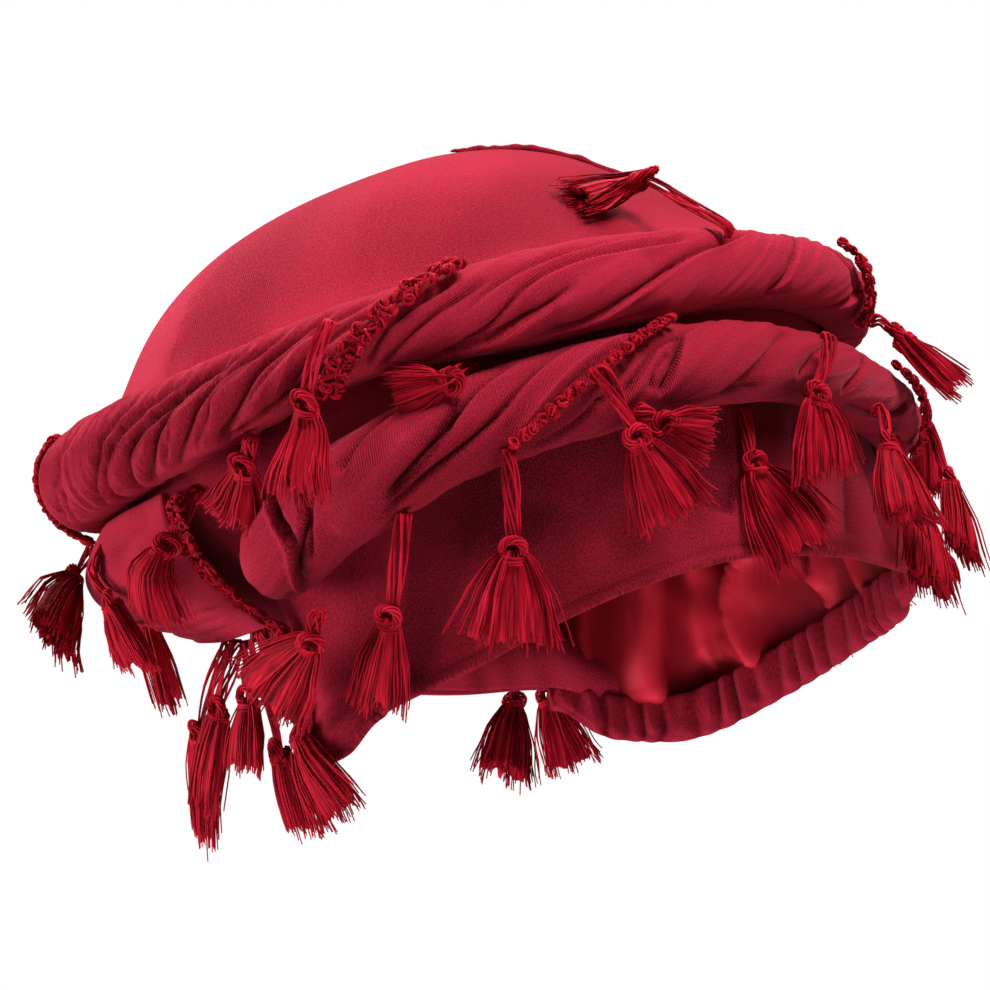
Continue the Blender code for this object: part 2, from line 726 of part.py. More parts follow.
TASSELS = (
    Tassel(Carrier.UPPER, 19.9, 12, 0.75, -39, 0.87, -16, -0.3, 0.4),
    Tassel(Carrier.UPPER, -8.4, -126, 0.52, -35, 0.80, -41, -0.3, 0.5),
    Tassel(Carrier.UPPER, -43.7, -71, 0.27, -21, 1.26, 55, 0.35, 0.0),
    Tassel(Carrier.UPPER, -29.5, -107, 0.80, 22, 0.68, -22, -0.2, 0.0),
    Tassel(Carrier.UPPER, 6.6, -73, 0.25, -53, 0.60, -38, -0.3, 0.0),
    Tassel(Carrier.UPPER, 31.2, -122, 0.25, -51, 0.52, -92, -0.3, 0.0),
    Tassel(Carrier.LOWER, 19.2, -72, 0.94, -35, 0.94, -43, -0.3, 0.0),
    Tassel(Carrier.LOWER, 32.8, -52, 0.84, -17, 0.86, -23, -0.3, 0.0),
    Tassel(Carrier.LOWER, 45.0, 2, 0.68, 16, 0.81, 14, -0.3, 0.45),
    Tassel(Carrier.LOWER, 48.7, -44, 0.25, 50, 0.50, 66, -0.3, 0.0),
    Tassel(Carrier.LOWER, 70.6, -125, 0.57, -13, 1.00, 22, -0.3, 0.0),
    Tassel(Carrier.LOWER, 80.9, 8, 0.61, -33, 0.75, 5, -0.3, 0.5),
    Tassel(Carrier.UPPER, 110.0, -47, 0.33, -34, 0.66, 16, 0.6, 0.6),
    Tassel(Carrier.UPPER, 70.3, 40, 0.82, -165, 0.71, -89, -1.0, 0.0),
    Tassel(Carrier.LOWER, 93.8, -48, 0.56, -42, 0.85, -18, 0.3, 0.6),
    Tassel(Carrier.LOWER, 110.7, -73, 0.92, -39, 1.12, -34, 0.2, 0.0),
    Tassel(Carrier.LOWER, 116.2, -42, 0.66, -31, 0.95, -34, 0.1, 0.5),
    Tassel(Carrier.HEM, -26.0, 0, 1.27, -60, 1.25, -48, 0.2, 0.0),
    Tassel(Carrier.HEM, -22.0, 0, 0.66, -38, 0.95, -28, 0.3, 0.0),
    Tassel(Carrier.HEM, -18.6, 0, 0.54, 0, 0.67, -20, 0.25, 0.0),
    Tassel(Carrier.HEM, -16.05, 0, 1.20, -28, 0.85, -30, -0.15, 0.0),
    Tassel(Carrier.HEM, -14.4, 0, 1.12, 16, 0.86, 16, -0.1, 0.0),
    Tassel(Carrier.LOWER, 7.0, -70, 0.25, -48, 1.27, -76, -0.3, 1.3),
    Tassel(Carrier.HEM, -122.6, 0, 0.90, 18, 0.94, 32, -0.2, 0.0),
    Tassel(Carrier.HEM, -126.2, 0, 0.84, 1, 0.83, -6, 0.2, 0.0),
    Tassel(Carrier.HEM, -176.0, 0, 0.45, 0, 0.85, 5, -0.3, 0.0),
    Tassel(Carrier.UPPER, -66.0, -40, 0.90, 10, 0.95, -6, 0.0, 0.0),
    Tassel(Carrier.UPPER, -92.0, -35, 0.80, -12, 1.00, -4, 0.0, 0.0),
    Tassel(Carrier.UPPER, -118.0, -45, 0.95, 8, 0.92, 12, -0.1, 0.0),
    Tassel(Carrier.UPPER, -148.0, -50, 0.85, -8, 1.00, 4, -0.2, 0.0),
    Tassel(Carrier.UPPER, 176.0, -50, 0.90, 12, 0.95, -4, -0.2, 0.0),
    Tassel(Carrier.UPPER, 150.0, -60, 0.60, -6, 0.80, 6, -0.3, 0.6),
    Tassel(Carrier.HEM, -76.0, 0, 0.45, 6, 0.80, -4, -0.1, 0.0),
    Tassel(Carrier.LOWER, 143.0, -60, 0.50, 6, 0.85, -6, -0.3, 0.0),
    Tassel(Carrier.LOWER, 164.0, -55, 0.45, -8, 0.90, 3, -0.3, 0.0),
)


class Section(NamedTuple):
    """A tassel's section at a share of its cord or of its skirt, with its width and thickness as shares of
    the skirt's."""

    on_skirt: bool
    way: float
    width: float
    thickness: float


TASSEL_SECTIONS = (
    Section(False, 0.00, 0.16, 0.36),
    Section(False, 0.50, 0.22, 0.36),
    Section(False, 1.00, 0.36, 0.80),
    Section(True, 0.24, 0.40, 0.80),
    Section(True, 0.72, 0.84, 1.00),
    Section(True, 1.00, 1.00, 0.80),
)

# The four locks of a skirt: how far each reaches of the way to the tips
LOCK_REACH = (1.00, 0.72, 1.00, 0.80)
LOCK_TAPER = 0.55


def tassel_root(row):
    """(reach, height) of a tassel's root, just off what it hangs on."""
    if row.carrier is Carrier.HEM:
        _, bottom = wrap_edges(row.angle % 360.0)
        _, reach, _ = wrap_point(row.angle % 360.0, 1.0, 0.5 * WRAP_WALL)
        return reach, bottom - CLOTH_GAP - 0.5 * TASSEL_CORD_THICKNESS
    roll = UPPER if row.carrier is Carrier.UPPER else LOWER
    lift = CLOTH_GAP + 0.5 * TASSEL_CORD_THICKNESS + row.layer * TASSEL_THICKNESS
    return roll_surface(roll, row.angle, row.clock, lift)


def tassel_line(row):
    """(angle, reach, height) at each section of a tassel, which lies on the cloth or hangs free."""
    angle = row.angle
    reach, height = tassel_root(row)
    line = [(angle, reach, height)]
    for before, section in zip(TASSEL_SECTIONS, TASSEL_SECTIONS[1:]):
        if section.on_skirt:
            way = section.way - (before.way if before.on_skirt else 0.0)
            length, turn = TASSEL_SKIRT * row.skirt * way, math.radians(row.sway)
        else:
            way = section.way - before.way
            length, turn = TASSEL_CORD * row.cord * way, math.radians(row.lean)
        angle += math.degrees(length * math.sin(turn) / reach)
        height -= length * math.cos(turn)
        half = 0.5 * TASSEL_THICKNESS * section.thickness
        clear = cloth_reach(angle, height) + half + TASSEL_CLEARANCE + row.layer * TASSEL_THICKNESS
        reach = max(clear, reach + row.swing * length)
        line.append((angle, reach, height))
    return line


def out_of_cloth(point):
    """The point, moved outwards from the axis where it would lie in the cloth."""
    angle = math.degrees(math.atan2(point.x, -point.y))
    clear = cloth_reach(angle, point.z) + TASSEL_CLEARANCE
    return place(angle, max(math.hypot(point.x, point.y), clear), point.z)


def face_out(angle, height):
    """The direction that the cap's face looks in at an angle and a height."""
    step = 0.002
    low = min(max(height, 0.0), CROWN_HEIGHT * 0.97)
    slope = (cap_reach(angle, low + step) - cap_reach(angle, low)) / step
    return (place(angle, 1.0, 0.0) - Vector((0.0, 0.0, slope))).normalized()


def tassel(name, row, carriers):
    """A tassel: its cord, its wrapped head and a skirt that parts into four locks, fused in one body. Its
    root is seated on the nearest of its carriers."""
    line = tassel_line(row)
    centres = [place(*spot) for spot in line]
    rings = []
    across = Vector()
    for i, (section, centre) in enumerate(zip(TASSEL_SECTIONS, centres)):
        along = (centres[min(i + 1, len(centres) - 1)] - centres[max(i - 1, 0)]).normalized()
        across = along.cross(face_out(line[i][0], line[i][2])) + 0.5 * across
        across = (across - along * across.dot(along)).normalized()
        out = across.cross(along)
        spread = 1 - TASSEL_WIDTH_GAIN + TASSEL_WIDTH_GAIN * row.skirt
        half_width = 0.5 * TASSEL_WIDTH * section.width * spread
        half_thickness = 0.5 * TASSEL_THICKNESS * section.thickness
        ring = []
        for k in range(8):
            turn = math.pi * k / 4
            offset = across * half_width * math.cos(turn) + out * half_thickness * math.sin(turn)
            under_hem = i == 0 and row.carrier is Carrier.HEM
            ring.append(centre + offset if under_hem else out_of_cloth(centre + offset))
        rings.append(ring)
    shift = shift_to_seat(rings[:1], carriers)
    rings[0] = [point + shift for point in rings[0]]
    bm = bmesh.new()
    rows = [[bm.verts.new(point) for point in ring] for ring in rings[:-1]]
    for low, high in zip(rows, rows[1:]):
        for i in range(8):
            bm.faces.new((low[i], low[(i + 1) % 8], high[(i + 1) % 8], high[i]))
    bm.faces.new(rows[0])
    last, tips = rows[-1], rings[-1]
    for reach, corners in zip(LOCK_REACH, ((0, 1, 7), (1, 2, 6, 7), (2, 3, 5, 6), (3, 4, 5))):
        middle = sum((tips[k] for k in corners), Vector()) / len(corners)
        ends = []
        for k in corners:
            tip = last[k].co.lerp(middle + (tips[k] - middle) * LOCK_TAPER, reach)
            ends.append(bm.verts.new(out_of_cloth(tip)))
        for i in range(len(corners)):
            j = (i + 1) % len(corners)
            bm.faces.new((last[corners[i]], last[corners[j]], ends[j], ends[i]))
        bm.faces.new(ends)
    return finished(name, bm)


class Trim(NamedTuple):
    """A crocheted trim on a roll: the angle and the clock of its two ends."""

    name: str
    carrier: Carrier
    start_angle: float
    start_clock: float
    end_angle: float
    end_clock: float


TRIMS = (
    Trim("upper_trim", Carrier.UPPER, 34.0, 60.0, 16.5, -60.0),
    Trim("lower_trim", Carrier.LOWER, 57.0, 64.0, 33.0, -38.0),
    Trim("side_trim", Carrier.UPPER, -37.0, 75.0, -50.0, -50.0),
    Trim("left_trim", Carrier.UPPER, 106.0, 45.0, 113.0, -60.0),
    Trim("back_trim", Carrier.LOWER, 112.0, 40.0, 126.0, -60.0),
    Trim("rear_trim", Carrier.UPPER, -160.0, 60.0, -142.0, -50.0),
)


def trim_point(trim, share, lift):
    """A point of a trim's middle line, a lift above the roll."""
    roll = UPPER if trim.carrier is Carrier.UPPER else LOWER
    angle = trim.start_angle + (trim.end_angle - trim.start_angle) * share
    clock = trim.start_clock + (trim.end_clock - trim.start_clock) * share
    return place(angle, *roll_surface(roll, angle, clock, lift))


def trim_strip(name, spot, carriers):
    """A scalloped strip along a line, seated on the nearest of its carriers: spot gives its middle at a share
    of the way and a lift."""
    parts = 20
    near = 1 / parts
    length = sum((spot((i + 1) / parts, 0.0) - spot(i / parts, 0.0)).length for i in range(parts))
    steps = max(4, 2 * round(length / (2 * TRIM_STEP)))
    rings = []
    for i in range(steps + 1):
        share = i / steps
        seat = spot(share, CLOTH_GAP)
        ahead, behind = min(share + near, 1.0), max(share - near, 0.0)
        along = (spot(ahead, CLOTH_GAP) - spot(behind, CLOTH_GAP)).normalized()
        out = (spot(share, CLOTH_GAP + TRIM_THICKNESS) - seat).normalized()
        across = along.cross(out).normalized()
        low = -0.5 * TRIM_WIDTH
        high = 0.5 * TRIM_WIDTH - (0 if i % 2 else PICOT_DEPTH_SHARE * TRIM_WIDTH)
        slope = TRIM_SLOPE_SHARE * TRIM_WIDTH
        top = seat + out * TRIM_THICKNESS
        under = [seat + across * low, seat + across * high]
        rings.append([*under, top + across * (high - slope), top + across * (low + slope)])
    shift = shift_to_seat(rings, carriers)
    return joined_rings(name, [[point + shift for point in ring] for ring in rings])


def front_trim(carriers):
    """The trim along the side wrap's front edge, from under the upper roll down past the hem."""
    edge = SIDE_WRAP[-1].angle

    def spot(share, lift):
        _, reach, height = wrap_point(edge, min(share * TRIM_OVERHANG, 1.0), 0.0)
        height -= max(share * TRIM_OVERHANG - 1.0, 0.0) * (wrap_edges(edge)[0] - wrap_edges(edge)[1])
        turned = edge + math.degrees((CLOTH_GAP + 0.5 * TRIM_WIDTH) / reach)
        return place(turned, reach + lift, height - 2 * CLOTH_GAP)

    return trim_strip("front_trim", spot, carriers)


def main():
    """Clear the scene and build each piece."""
    for old in list(bpy.data.objects):
        bpy.data.objects.remove(old)
    thread = cloth("crimson_thread", (0.40, 0.01, 0.04), 0.75)
    jersey = cloth("crimson_jersey", (0.47, 0.02, 0.06), 0.85)
    satin = cloth("crimson_satin", (0.45, 0.01, 0.03), 0.35)
    made = []
    for make, material in (
        (crown_cap, jersey),
        (satin_lining, satin),
        (brow_band, jersey),
        (side_wrap, jersey),
        (nape_elastic, jersey),
        (upper_twist, jersey),
        (lower_twist, jersey),
    ):
        made.append(add_piece(make.__name__, make(), material).data)
    cloths = surface_of(*made)
    for trim in TRIMS:
        strip = trim_strip(trim.name, lambda share, lift: trim_point(trim, share, lift), cloths)
        made.append(add_piece(trim.name, strip, thread).data)
    made.append(add_piece("front_trim", front_trim(cloths), thread).data)
    carriers = surface_of(*made)
    for number, row in enumerate(TASSELS, start=1):
        name = f"tassel_{number:02d}"
        add_piece(name, tassel(name, row, carriers), thread)


main()
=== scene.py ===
"""Looks of a pre-tied turban headband: crimson jersey rolls, brow band, satin lining, crochet and tassels.

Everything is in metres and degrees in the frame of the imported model: +Z is up and the wearer faces -Y. An
angle runs round the head from the front (0) towards the wearer's left (90), and a reach is a distance from
the upright axis through the origin. A clock runs round a roll's section: 0 is outwards and 90 is up.
"""

import logging
import math
from dataclasses import dataclass
from enum import Enum
from functools import partial
from typing import Any, Callable, NamedTuple

import bmesh
import bpy
import numpy as np
from mathutils import Matrix, Vector


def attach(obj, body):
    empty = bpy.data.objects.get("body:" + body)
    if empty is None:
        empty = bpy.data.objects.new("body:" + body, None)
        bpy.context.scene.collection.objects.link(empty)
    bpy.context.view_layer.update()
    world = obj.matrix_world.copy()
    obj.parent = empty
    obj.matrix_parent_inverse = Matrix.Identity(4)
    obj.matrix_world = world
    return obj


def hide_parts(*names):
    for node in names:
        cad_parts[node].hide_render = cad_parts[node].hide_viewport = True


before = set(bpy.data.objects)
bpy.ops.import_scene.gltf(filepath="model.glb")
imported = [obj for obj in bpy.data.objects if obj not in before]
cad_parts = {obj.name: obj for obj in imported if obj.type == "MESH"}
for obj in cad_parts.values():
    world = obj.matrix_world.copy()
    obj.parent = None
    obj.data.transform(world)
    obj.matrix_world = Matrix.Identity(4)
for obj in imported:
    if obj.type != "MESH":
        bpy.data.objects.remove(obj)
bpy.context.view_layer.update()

Array = np.ndarray
Pair = tuple[float, float]
Rows = tuple[tuple[float, ...], ...]
Material = bpy.types.Material
Tree = bpy.types.NodeTree
LOG = logging.getLogger("turban")
MM = 0.001
# The clearance between two layers of cloth
CLOTH_GAP = 0.8 * MM
# Points nearer than this are one point
WELD = 1e-6
# How many steps a fold's line is drawn in, and the width in millimetres from which its bottom is round
FOLD_STEPS = 24
BROAD_FOLD = 5.5
# How many rows the round hem and the inside of a wall of cloth have
HEM_ROWS = 5
INNER_ROWS = 16
# Distances from the axis in metres: the rolls' folds, and the cloth in general
FOLD_REACH = 0.122
CLOTH_REACH = 0.1


def ease(share: Array) -> Array:
    """0 to 1 with a level start and end."""
    share = np.clip(share, 0.0, 1.0)
    return share * share * (3 - 2 * share)


def place(angle: Array, reach: Array, height: Array) -> Array:
    """Points at angles round the head, distances from the axis and heights."""
    turn = np.radians(angle)
    return np.stack(np.broadcast_arrays(reach * np.sin(turn), -reach * np.cos(turn), height), axis=-1)


def unit(vectors: Array) -> Array:
    """The vectors at length 1."""
    return vectors / (np.linalg.norm(vectors, axis=-1, keepdims=True) + 1e-12)


def soft_max(value: Array, least: Array, blend: float) -> Array:
    """The larger of two values, rounded off where they meet."""
    near = np.clip(0.5 + 0.5 * (value - least) / blend, 0.0, 1.0)
    return least + (value - least) * near + blend * near * (1 - near)


def ripple(across: Array, along: Array, length: float, seed: int) -> Array:
    """Soft irregular waves between about -1 and 1, about a length apart.

    Args:
        across: A coordinate on the cloth.
        along: The other coordinate, in the same unit.
        length: How far apart two waves are.
        seed: Which waves.

    Returns:
        The height of the waves at each place.
    """
    draw = np.random.default_rng(seed)
    total = 0.0
    for _ in range(6):
        heading, phase = draw.uniform(0, 2 * math.pi, 2)
        number = 2 * math.pi / (length * draw.uniform(0.7, 1.5))
        total = total + np.cos(number * (across * math.cos(heading) + along * math.sin(heading)) + phase)
    return total / 3.2


@dataclass(frozen=True)
class Curve:
    """A smooth curve through the values at a few places, round and round where it has a period."""

    places: Array
    values: Array
    period: float | None = None

    @classmethod
    def of(cls, rows: Rows, column: int, period: float | None = None) -> "Curve":
        """The curve of one column of a table whose first column is the place."""
        return cls(*(np.array([row[i] for row in rows], float) for i in (0, column)), period)

    def __call__(self, where: Array) -> Array:
        """The values at some places.

        Args:
            where: The places, along the curve's own first column.

        Returns:
            The value at each of them, held still past the ends.
        """
        places, values, where = self.places, self.values, np.asarray(where, float)
        if self.period:
            where = (where - places[0]) % self.period + places[0]
            places = np.concatenate((places[-1:] - self.period, places, places[:2] + self.period))
            values = np.concatenate((values[-1:], values, values[:2]))
        where = np.clip(where, places[0], places[-1])
        slopes = np.gradient(values, places)
        slopes[1:-1] = (values[2:] - values[:-2]) / (places[2:] - places[:-2])
        index = np.clip(np.searchsorted(places, where, side="left") - 1, 0, len(places) - 2)
        span = places[index + 1] - places[index]
        share = (where - places[index]) / span
        return (
            (2 * share**3 - 3 * share**2 + 1) * values[index]
            + (share**3 - 2 * share**2 + share) * slopes[index] * span
            + (3 * share**2 - 2 * share**3) * values[index + 1]
            + (share**3 - share**2) * slopes[index + 1] * span
        )


def line_through(places: Array, points: Array, where: Array) -> Array:
    """Where a smooth line through points is at some places, given the place of each point."""
    return np.stack([Curve(places, column)(where) for column in points.T], axis=-1)


@dataclass
class Patch:
    """A net of points that becomes a sheet or a tube.

    Attributes:
        points: Rows and columns of points.
        chart: The cloth's own coordinates at each point, in metres.
        tone: Painted shade at each point, from -1 at the bottom of a fold to 1 on a crest, with painted light
            and shade on whole parts; on a thread, its own tone.
    """

    points: Array
    chart: Array
    tone: Array | float = 0.0


def patch_mesh(name: str, patches: list[Patch], fill: bool) -> bpy.types.Mesh:
    """One welded mesh of grids that are moved onto their patches.

    Args:
        name: The mesh's name.
        patches: The nets of points.
        fill: Whether the open ends are closed with faces.

    Returns:
        The mesh, facing outwards, with a UV map in metres and a tone at each point, which carries painted
        shade.
    """
    bm = bmesh.new()
    bm.loops.layers.uv.new("UVMap")
    for patch in patches:
        rows, columns = patch.points.shape[:2]
        bmesh.ops.create_grid(bm, x_segments=columns - 1, y_segments=rows - 1, size=0.5, calc_uvs=True)
    mesh = bpy.data.meshes.new(name)
    bm.to_mesh(mesh)
    bm.free()
    points = np.concatenate([patch.points.reshape(-1, 3) for patch in patches])
    chart = np.concatenate([patch.chart.reshape(-1, 2) for patch in patches])
    tones = [np.broadcast_to(patch.tone, patch.points.shape[:2]).ravel() for patch in patches]
    mesh.vertices.foreach_set("co", points.astype(np.float32).ravel())
    corners = np.empty(len(mesh.loops), np.int32)
    mesh.loops.foreach_get("vertex_index", corners)
    mesh.uv_layers["UVMap"].data.foreach_set("uv", chart[corners].astype(np.float32).ravel())
    tone = mesh.attributes.new("tone", "FLOAT", "POINT")
    tone.data.foreach_set("value", np.concatenate(tones).astype(np.float32))
    bm = bmesh.new()
    bm.from_mesh(mesh)
    bmesh.ops.remove_doubles(bm, verts=bm.verts, dist=WELD)
    if fill:
        bmesh.ops.holes_fill(bm, edges=bm.edges, sides=0)
    bmesh.ops.recalc_face_normals(bm, faces=bm.faces)
    bm.to_mesh(mesh)
    bm.free()
    mesh.shade_smooth()
    return mesh


def add_piece(
    name: str, patches: list[Patch], finish: Material, slot: str, *nodes: str,
    fill: bool = False, wall: float = 0.0,
) -> bpy.types.Object:
    """A piece that shows patches in a finish, rides on the head and replaces its plain solids.

    Args:
        name: The piece's name.
        patches: The nets of points.
        finish: Its material.
        slot: The record's slot for its finish; not used.
        nodes: The solids that it replaces.
        fill: Whether the open ends are closed with faces.
        wall: How thick a sheet gets, inwards from its outer face.

    Returns:
        The new object.
    """
    mesh = patch_mesh(name, patches, fill)
    mesh.materials.append(finish)
    piece = bpy.data.objects.new(name, mesh)
    bpy.context.scene.collection.objects.link(piece)
    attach(piece, "root")
    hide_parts(*nodes)
    if wall:
        shell = piece.modifiers.new("wall", "SOLIDIFY")
        shell.thickness, shell.offset, shell.use_rim = wall, -1.0, True
    LOG.info("%s: %d faces in place of %s", name, len(mesh.polygons), ", ".join(nodes))
    return piece


class Fold(NamedTuple):
    """A fold drawn on a cloth: a valley with a steep side and a gentle side.

    Attributes:
        line: The places that its bottom runs through, in the cloth's own two units.
        depth: How deep the valley is, in millimetres, or how high a ridge where it is below zero.
        steep: How wide its side on the left of the line's way is, in millimetres.
        gentle: How wide its other side is.
        lift: How high the left side's lip stands.
    """

    line: Rows
    depth: float
    steep: float = 0.8
    gentle: float = 3.0
    lift: float = 0.0

    def offset(self, first: Array, second: Array, scale: Pair) -> Array:
        """How far the fold moves the cloth outwards at some places.

        Args:
            first: The first coordinate of the places.
            second: Their second coordinate.
            scale: Metres for each unit of the two coordinates.

        Returns:
            How far each place moves, in metres.
        """
        knots = np.array(self.line) * scale
        way = np.linspace(0, 1, len(knots))
        path = line_through(way, knots, np.linspace(0, 1, FOLD_STEPS + 1))
        spots = np.stack((first * scale[0], second * scale[1]), axis=-1)
        margin = 4.5 * MM * max(self.steep, self.gentle, 1.0)
        near = np.all((spots > path.min(0) - margin) & (spots < path.max(0) + margin), axis=-1)
        offset = np.zeros(spots.shape[:-1])
        if not near.any():
            return offset
        step = np.diff(path, axis=0)
        away = spots[near][:, None] - path[None, :-1]
        share = np.clip((away * step).sum(-1) / (step**2).sum(-1), 0.0, 1.0)
        gap = away - share[..., None] * step
        far = (gap**2).sum(-1)
        nearest = far.argmin(-1)
        rows = np.arange(len(nearest))
        distance = np.sqrt(far[rows, nearest]) / MM
        ahead, spot = step[nearest], away[rows, nearest]
        left = ahead[:, 0] * spot[:, 1] - ahead[:, 1] * spot[:, 0] > 0
        along = (nearest + share[rows, nearest]) / FOLD_STEPS
        fade = ease(0.1 + 7 * np.minimum(along, 1 - along))
        width = np.where(left, self.steep, self.gentle)
        if max(self.steep, self.gentle) > BROAD_FOLD:
            valley = np.exp(-((distance / width) ** 1.8))
        else:
            crease = np.exp(-((distance / max(self.steep, 0.7)) ** 1.3))
            valley = 0.55 * np.exp(-((distance / width) ** 1.15)) + 0.45 * crease
        lip = np.exp(-(((distance - 2.5 * self.steep) / (1.8 * self.steep)) ** 2)) * left
        offset[near] = fade * (self.lift * lip - self.depth * valley) * MM
        return offset


def fold_offset(folds: tuple[Fold, ...], first: Array, second: Array, scale: Pair) -> Array:
    """How far all of a cloth's folds move it outwards."""
    return sum((fold.offset(first, second, scale) for fold in folds), np.zeros(np.shape(first)))


@dataclass
class Cap:
    """The domed jersey cap in six gores."""

    finish: Material
    half_width: float = 77.0 * MM
    half_depth: float = 88.0 * MM
    height: float = 133.0 * MM
    swell: float = 0.15
    lean_right: float = 9.5 * MM
    lean_forward: float = 27.0 * MM
    rim_drop: float = 22.0 * MM
    shoulder: float = 0.56
    dome_middle: float = 0.24
    softness: float = 0.06
    wall: float = 1.6 * MM
    seams: tuple[float, ...] = (-62.0, -7.0, 20.0, 98.0, 158.0, 218.0)
    # Each gore's facet is painted lighter or darker, as painted light and shade: the painted shade at each
    # gore's first seam and at its last one, which fades out under the crest
    gore_painted_shade: Rows = (
        (0.5, 0.5), (-0.55, -1.25), (-1.15, -0.4), (-0.1, -0.1), (0.1, 0.1), (-0.1, -0.1),
    )
    painted_shade_end: float = 0.93
    flatness: float = 0.040
    fullness: float = 0.010
    even_gore: float = 60.0
    faceted_from: float = 0.42
    step: float = 1.6
    hug_rise: float = 1.7 * MM
    hug_reach: float = 8.0 * MM
    seam_width: float = 0.8 * MM
    seam_depth: float = 0.15 * MM
    crest_radius: float = 0.95 * MM
    # The rolled seam over the crest: angles round the head and shares of the height
    crest: Rows = (
        (28, 0.974), (37, 0.973), (50, 0.967), (66, 0.951), (81, 0.92),
        (90.5, 0.872), (96, 0.815), (100, 0.75), (104.5, 0.68), (110, 0.6),
    )
    # The wavy lower edge: shares of its drop at angles round the head
    rim_rows: Rows = (
        (0, -0.18), (22, -0.1), (42, 0.12), (62, 0.22), (80, 0.12), (98, -0.1), (118, -0.2), (142, -0.12),
        (165, -0.24), (187, -0.5), (208, -0.7), (222, -0.5), (236, -0.12), (255, 0.06), (285, 0.32),
        (315, 0.36), (342, 0.05),
    )
    # How much of its lean the cap has at a share of the height
    lean_rows: Rows = (
        (0, 0), (0.2, 0.38), (0.45, 0.74), (0.62, 0.92), (0.8, 1), (0.9, 0.9), (1, 0.5),
    )

    def __post_init__(self) -> None:
        """Draw the curves through the rows."""
        self.rim = Curve.of(self.rim_rows, 1, 360.0)
        self.lean = Curve.of(self.lean_rows, 1)

    def width_share(self, level: Array) -> Array:
        """The half width at a share of the height, as a share of the opening's.

        Args:
            level: Shares of the height.

        Returns:
            The shares of the opening's half width.
        """
        straight = 1 + self.swell * ease(level / self.shoulder)
        at_shoulder = (self.shoulder - self.dome_middle) / (1 - self.dome_middle)
        share = np.clip((level - self.dome_middle) / (1 - self.dome_middle), 0.0, 1.0)
        dome = (1 + self.swell) * np.sqrt((1 - share**2) / (1 - at_shoulder**2))
        near = np.maximum(self.softness - np.abs(straight - dome), 0.0) / self.softness
        return np.minimum(straight, dome) - 0.25 * self.softness * near**2

    def reach_at_level(self, angle: Array, level: Array, inset: Array = 0.0) -> Array:
        """The distance from the axis to the outer face at a share of the height, or to a face inside it.

        Args:
            angle: Angles round the head.
            level: Shares of the height.
            inset: How far the face lies inside the outer one.

        Returns:
            The distances.
        """
        share, lean = self.width_share(level), self.lean(level)
        turn = np.radians(angle)
        across, along = np.sin(turn), -np.cos(turn)
        width = np.maximum(self.half_width * share - inset, 0.2 * MM)
        depth = np.maximum(self.half_depth * share - inset, 0.2 * MM)
        x, y = -self.lean_right * lean, -self.lean_forward * lean
        a = (across / width) ** 2 + (along / depth) ** 2
        b = -2 * (across * x / width**2 + along * y / depth**2)
        c = (x / width) ** 2 + (y / depth) ** 2 - 1
        reach = (-b + np.sqrt(np.maximum(b * b - 4 * a * c, 0.0))) / (2 * a)
        faceted = ease((level - self.faceted_from) / 0.4)
        across, width = self.gore(angle)
        dip = np.sin(math.pi * across) * width / self.even_gore
        return reach * (1 + (self.fullness - self.flatness * dip) * faceted)

    def gore(self, angle: Array) -> tuple[Array, Array]:
        """How far across its gore an angle lies, from 0 to 1, and how many degrees the gore spans.

        Args:
            angle: Angles round the head.

        Returns:
            The shares of the way across, and the spans.
        """
        edges = np.array((*self.seams, self.seams[0] + 360.0))
        where = (angle - edges[0]) % 360.0 + edges[0]
        number = np.clip(np.searchsorted(edges, where, side="right") - 1, 0, len(self.seams) - 1)
        width = edges[number + 1] - edges[number]
        return (where - edges[number]) / width, width

    def rim_height(self, angle: Array) -> Array:
        """The height of the lower edge."""
        return self.rim_drop * self.rim(angle)

    def height_at_level(self, angle: Array, level: Array) -> Array:
        """The height at a share of the way from the rim to the crown."""
        return self.rim_height(angle) * (1 - level) ** 3 + self.height * level

    def reach(self, angle: Array, height: Array) -> Array:
        """The distance from the axis to the outer face at a height.

        Args:
            angle: Angles round the head.
            height: Heights.

        Returns:
            The distances.
        """
        level = np.asarray(height / self.height, float)
        for _ in range(3):
            level = np.clip(level + (height - self.height_at_level(angle, level)) / self.height, 0.0, 0.9999)
        return self.reach_at_level(angle, level)

    def levels(self, share: Array) -> Array:
        """Shares of the height for even rows: up to the shoulder, and then round the dome.

        Args:
            share: Shares of the rows.

        Returns:
            The share of the height at each row.
        """
        start = math.asin((self.shoulder - self.dome_middle) / (1 - self.dome_middle))
        turn = start + (math.pi / 2 - start) * np.clip((share - 0.45) / 0.55, 0.0, 1.0)
        domed = self.dome_middle + (1 - self.dome_middle) * np.sin(turn)
        return np.where(share < 0.45, self.shoulder * share / 0.45, domed)

    def relief(self, angle: Array, level: Array) -> Array:
        """The seams between the gores and the soft lie of the cloth.

        Args:
            angle: Angles round the head.
            level: Shares of the height.

        Returns:
            How far the outer face stands out.
        """
        reach = self.reach_at_level(angle, level)
        total = 0.0
        for seam in self.seams:
            across = np.radians((angle - seam + 180.0) % 360.0 - 180.0) * reach
            line = -self.seam_depth * np.exp(-((across / self.seam_width) ** 2))
            total = total + line * ease((level - 0.3) * 5) * ease((1 - level) * 40)
        x, y, _ = np.moveaxis(place(angle, reach, 0.0), -1, 0)
        soft = 0.7 * MM * ripple(x, level * self.height - 0.7 * y, 46 * MM, 3)
        fine = 0.12 * MM * ripple(x, level * self.height - 0.7 * y, 15 * MM, 4)
        pull = ripple(x, y, 16 * MM, 5) * np.exp(-((level - 0.58) / 0.08) ** 2)
        return total + soft * ease((1 - level) * 8) + fine * ease((1 - level) * 8) + 0.6 * MM * pull

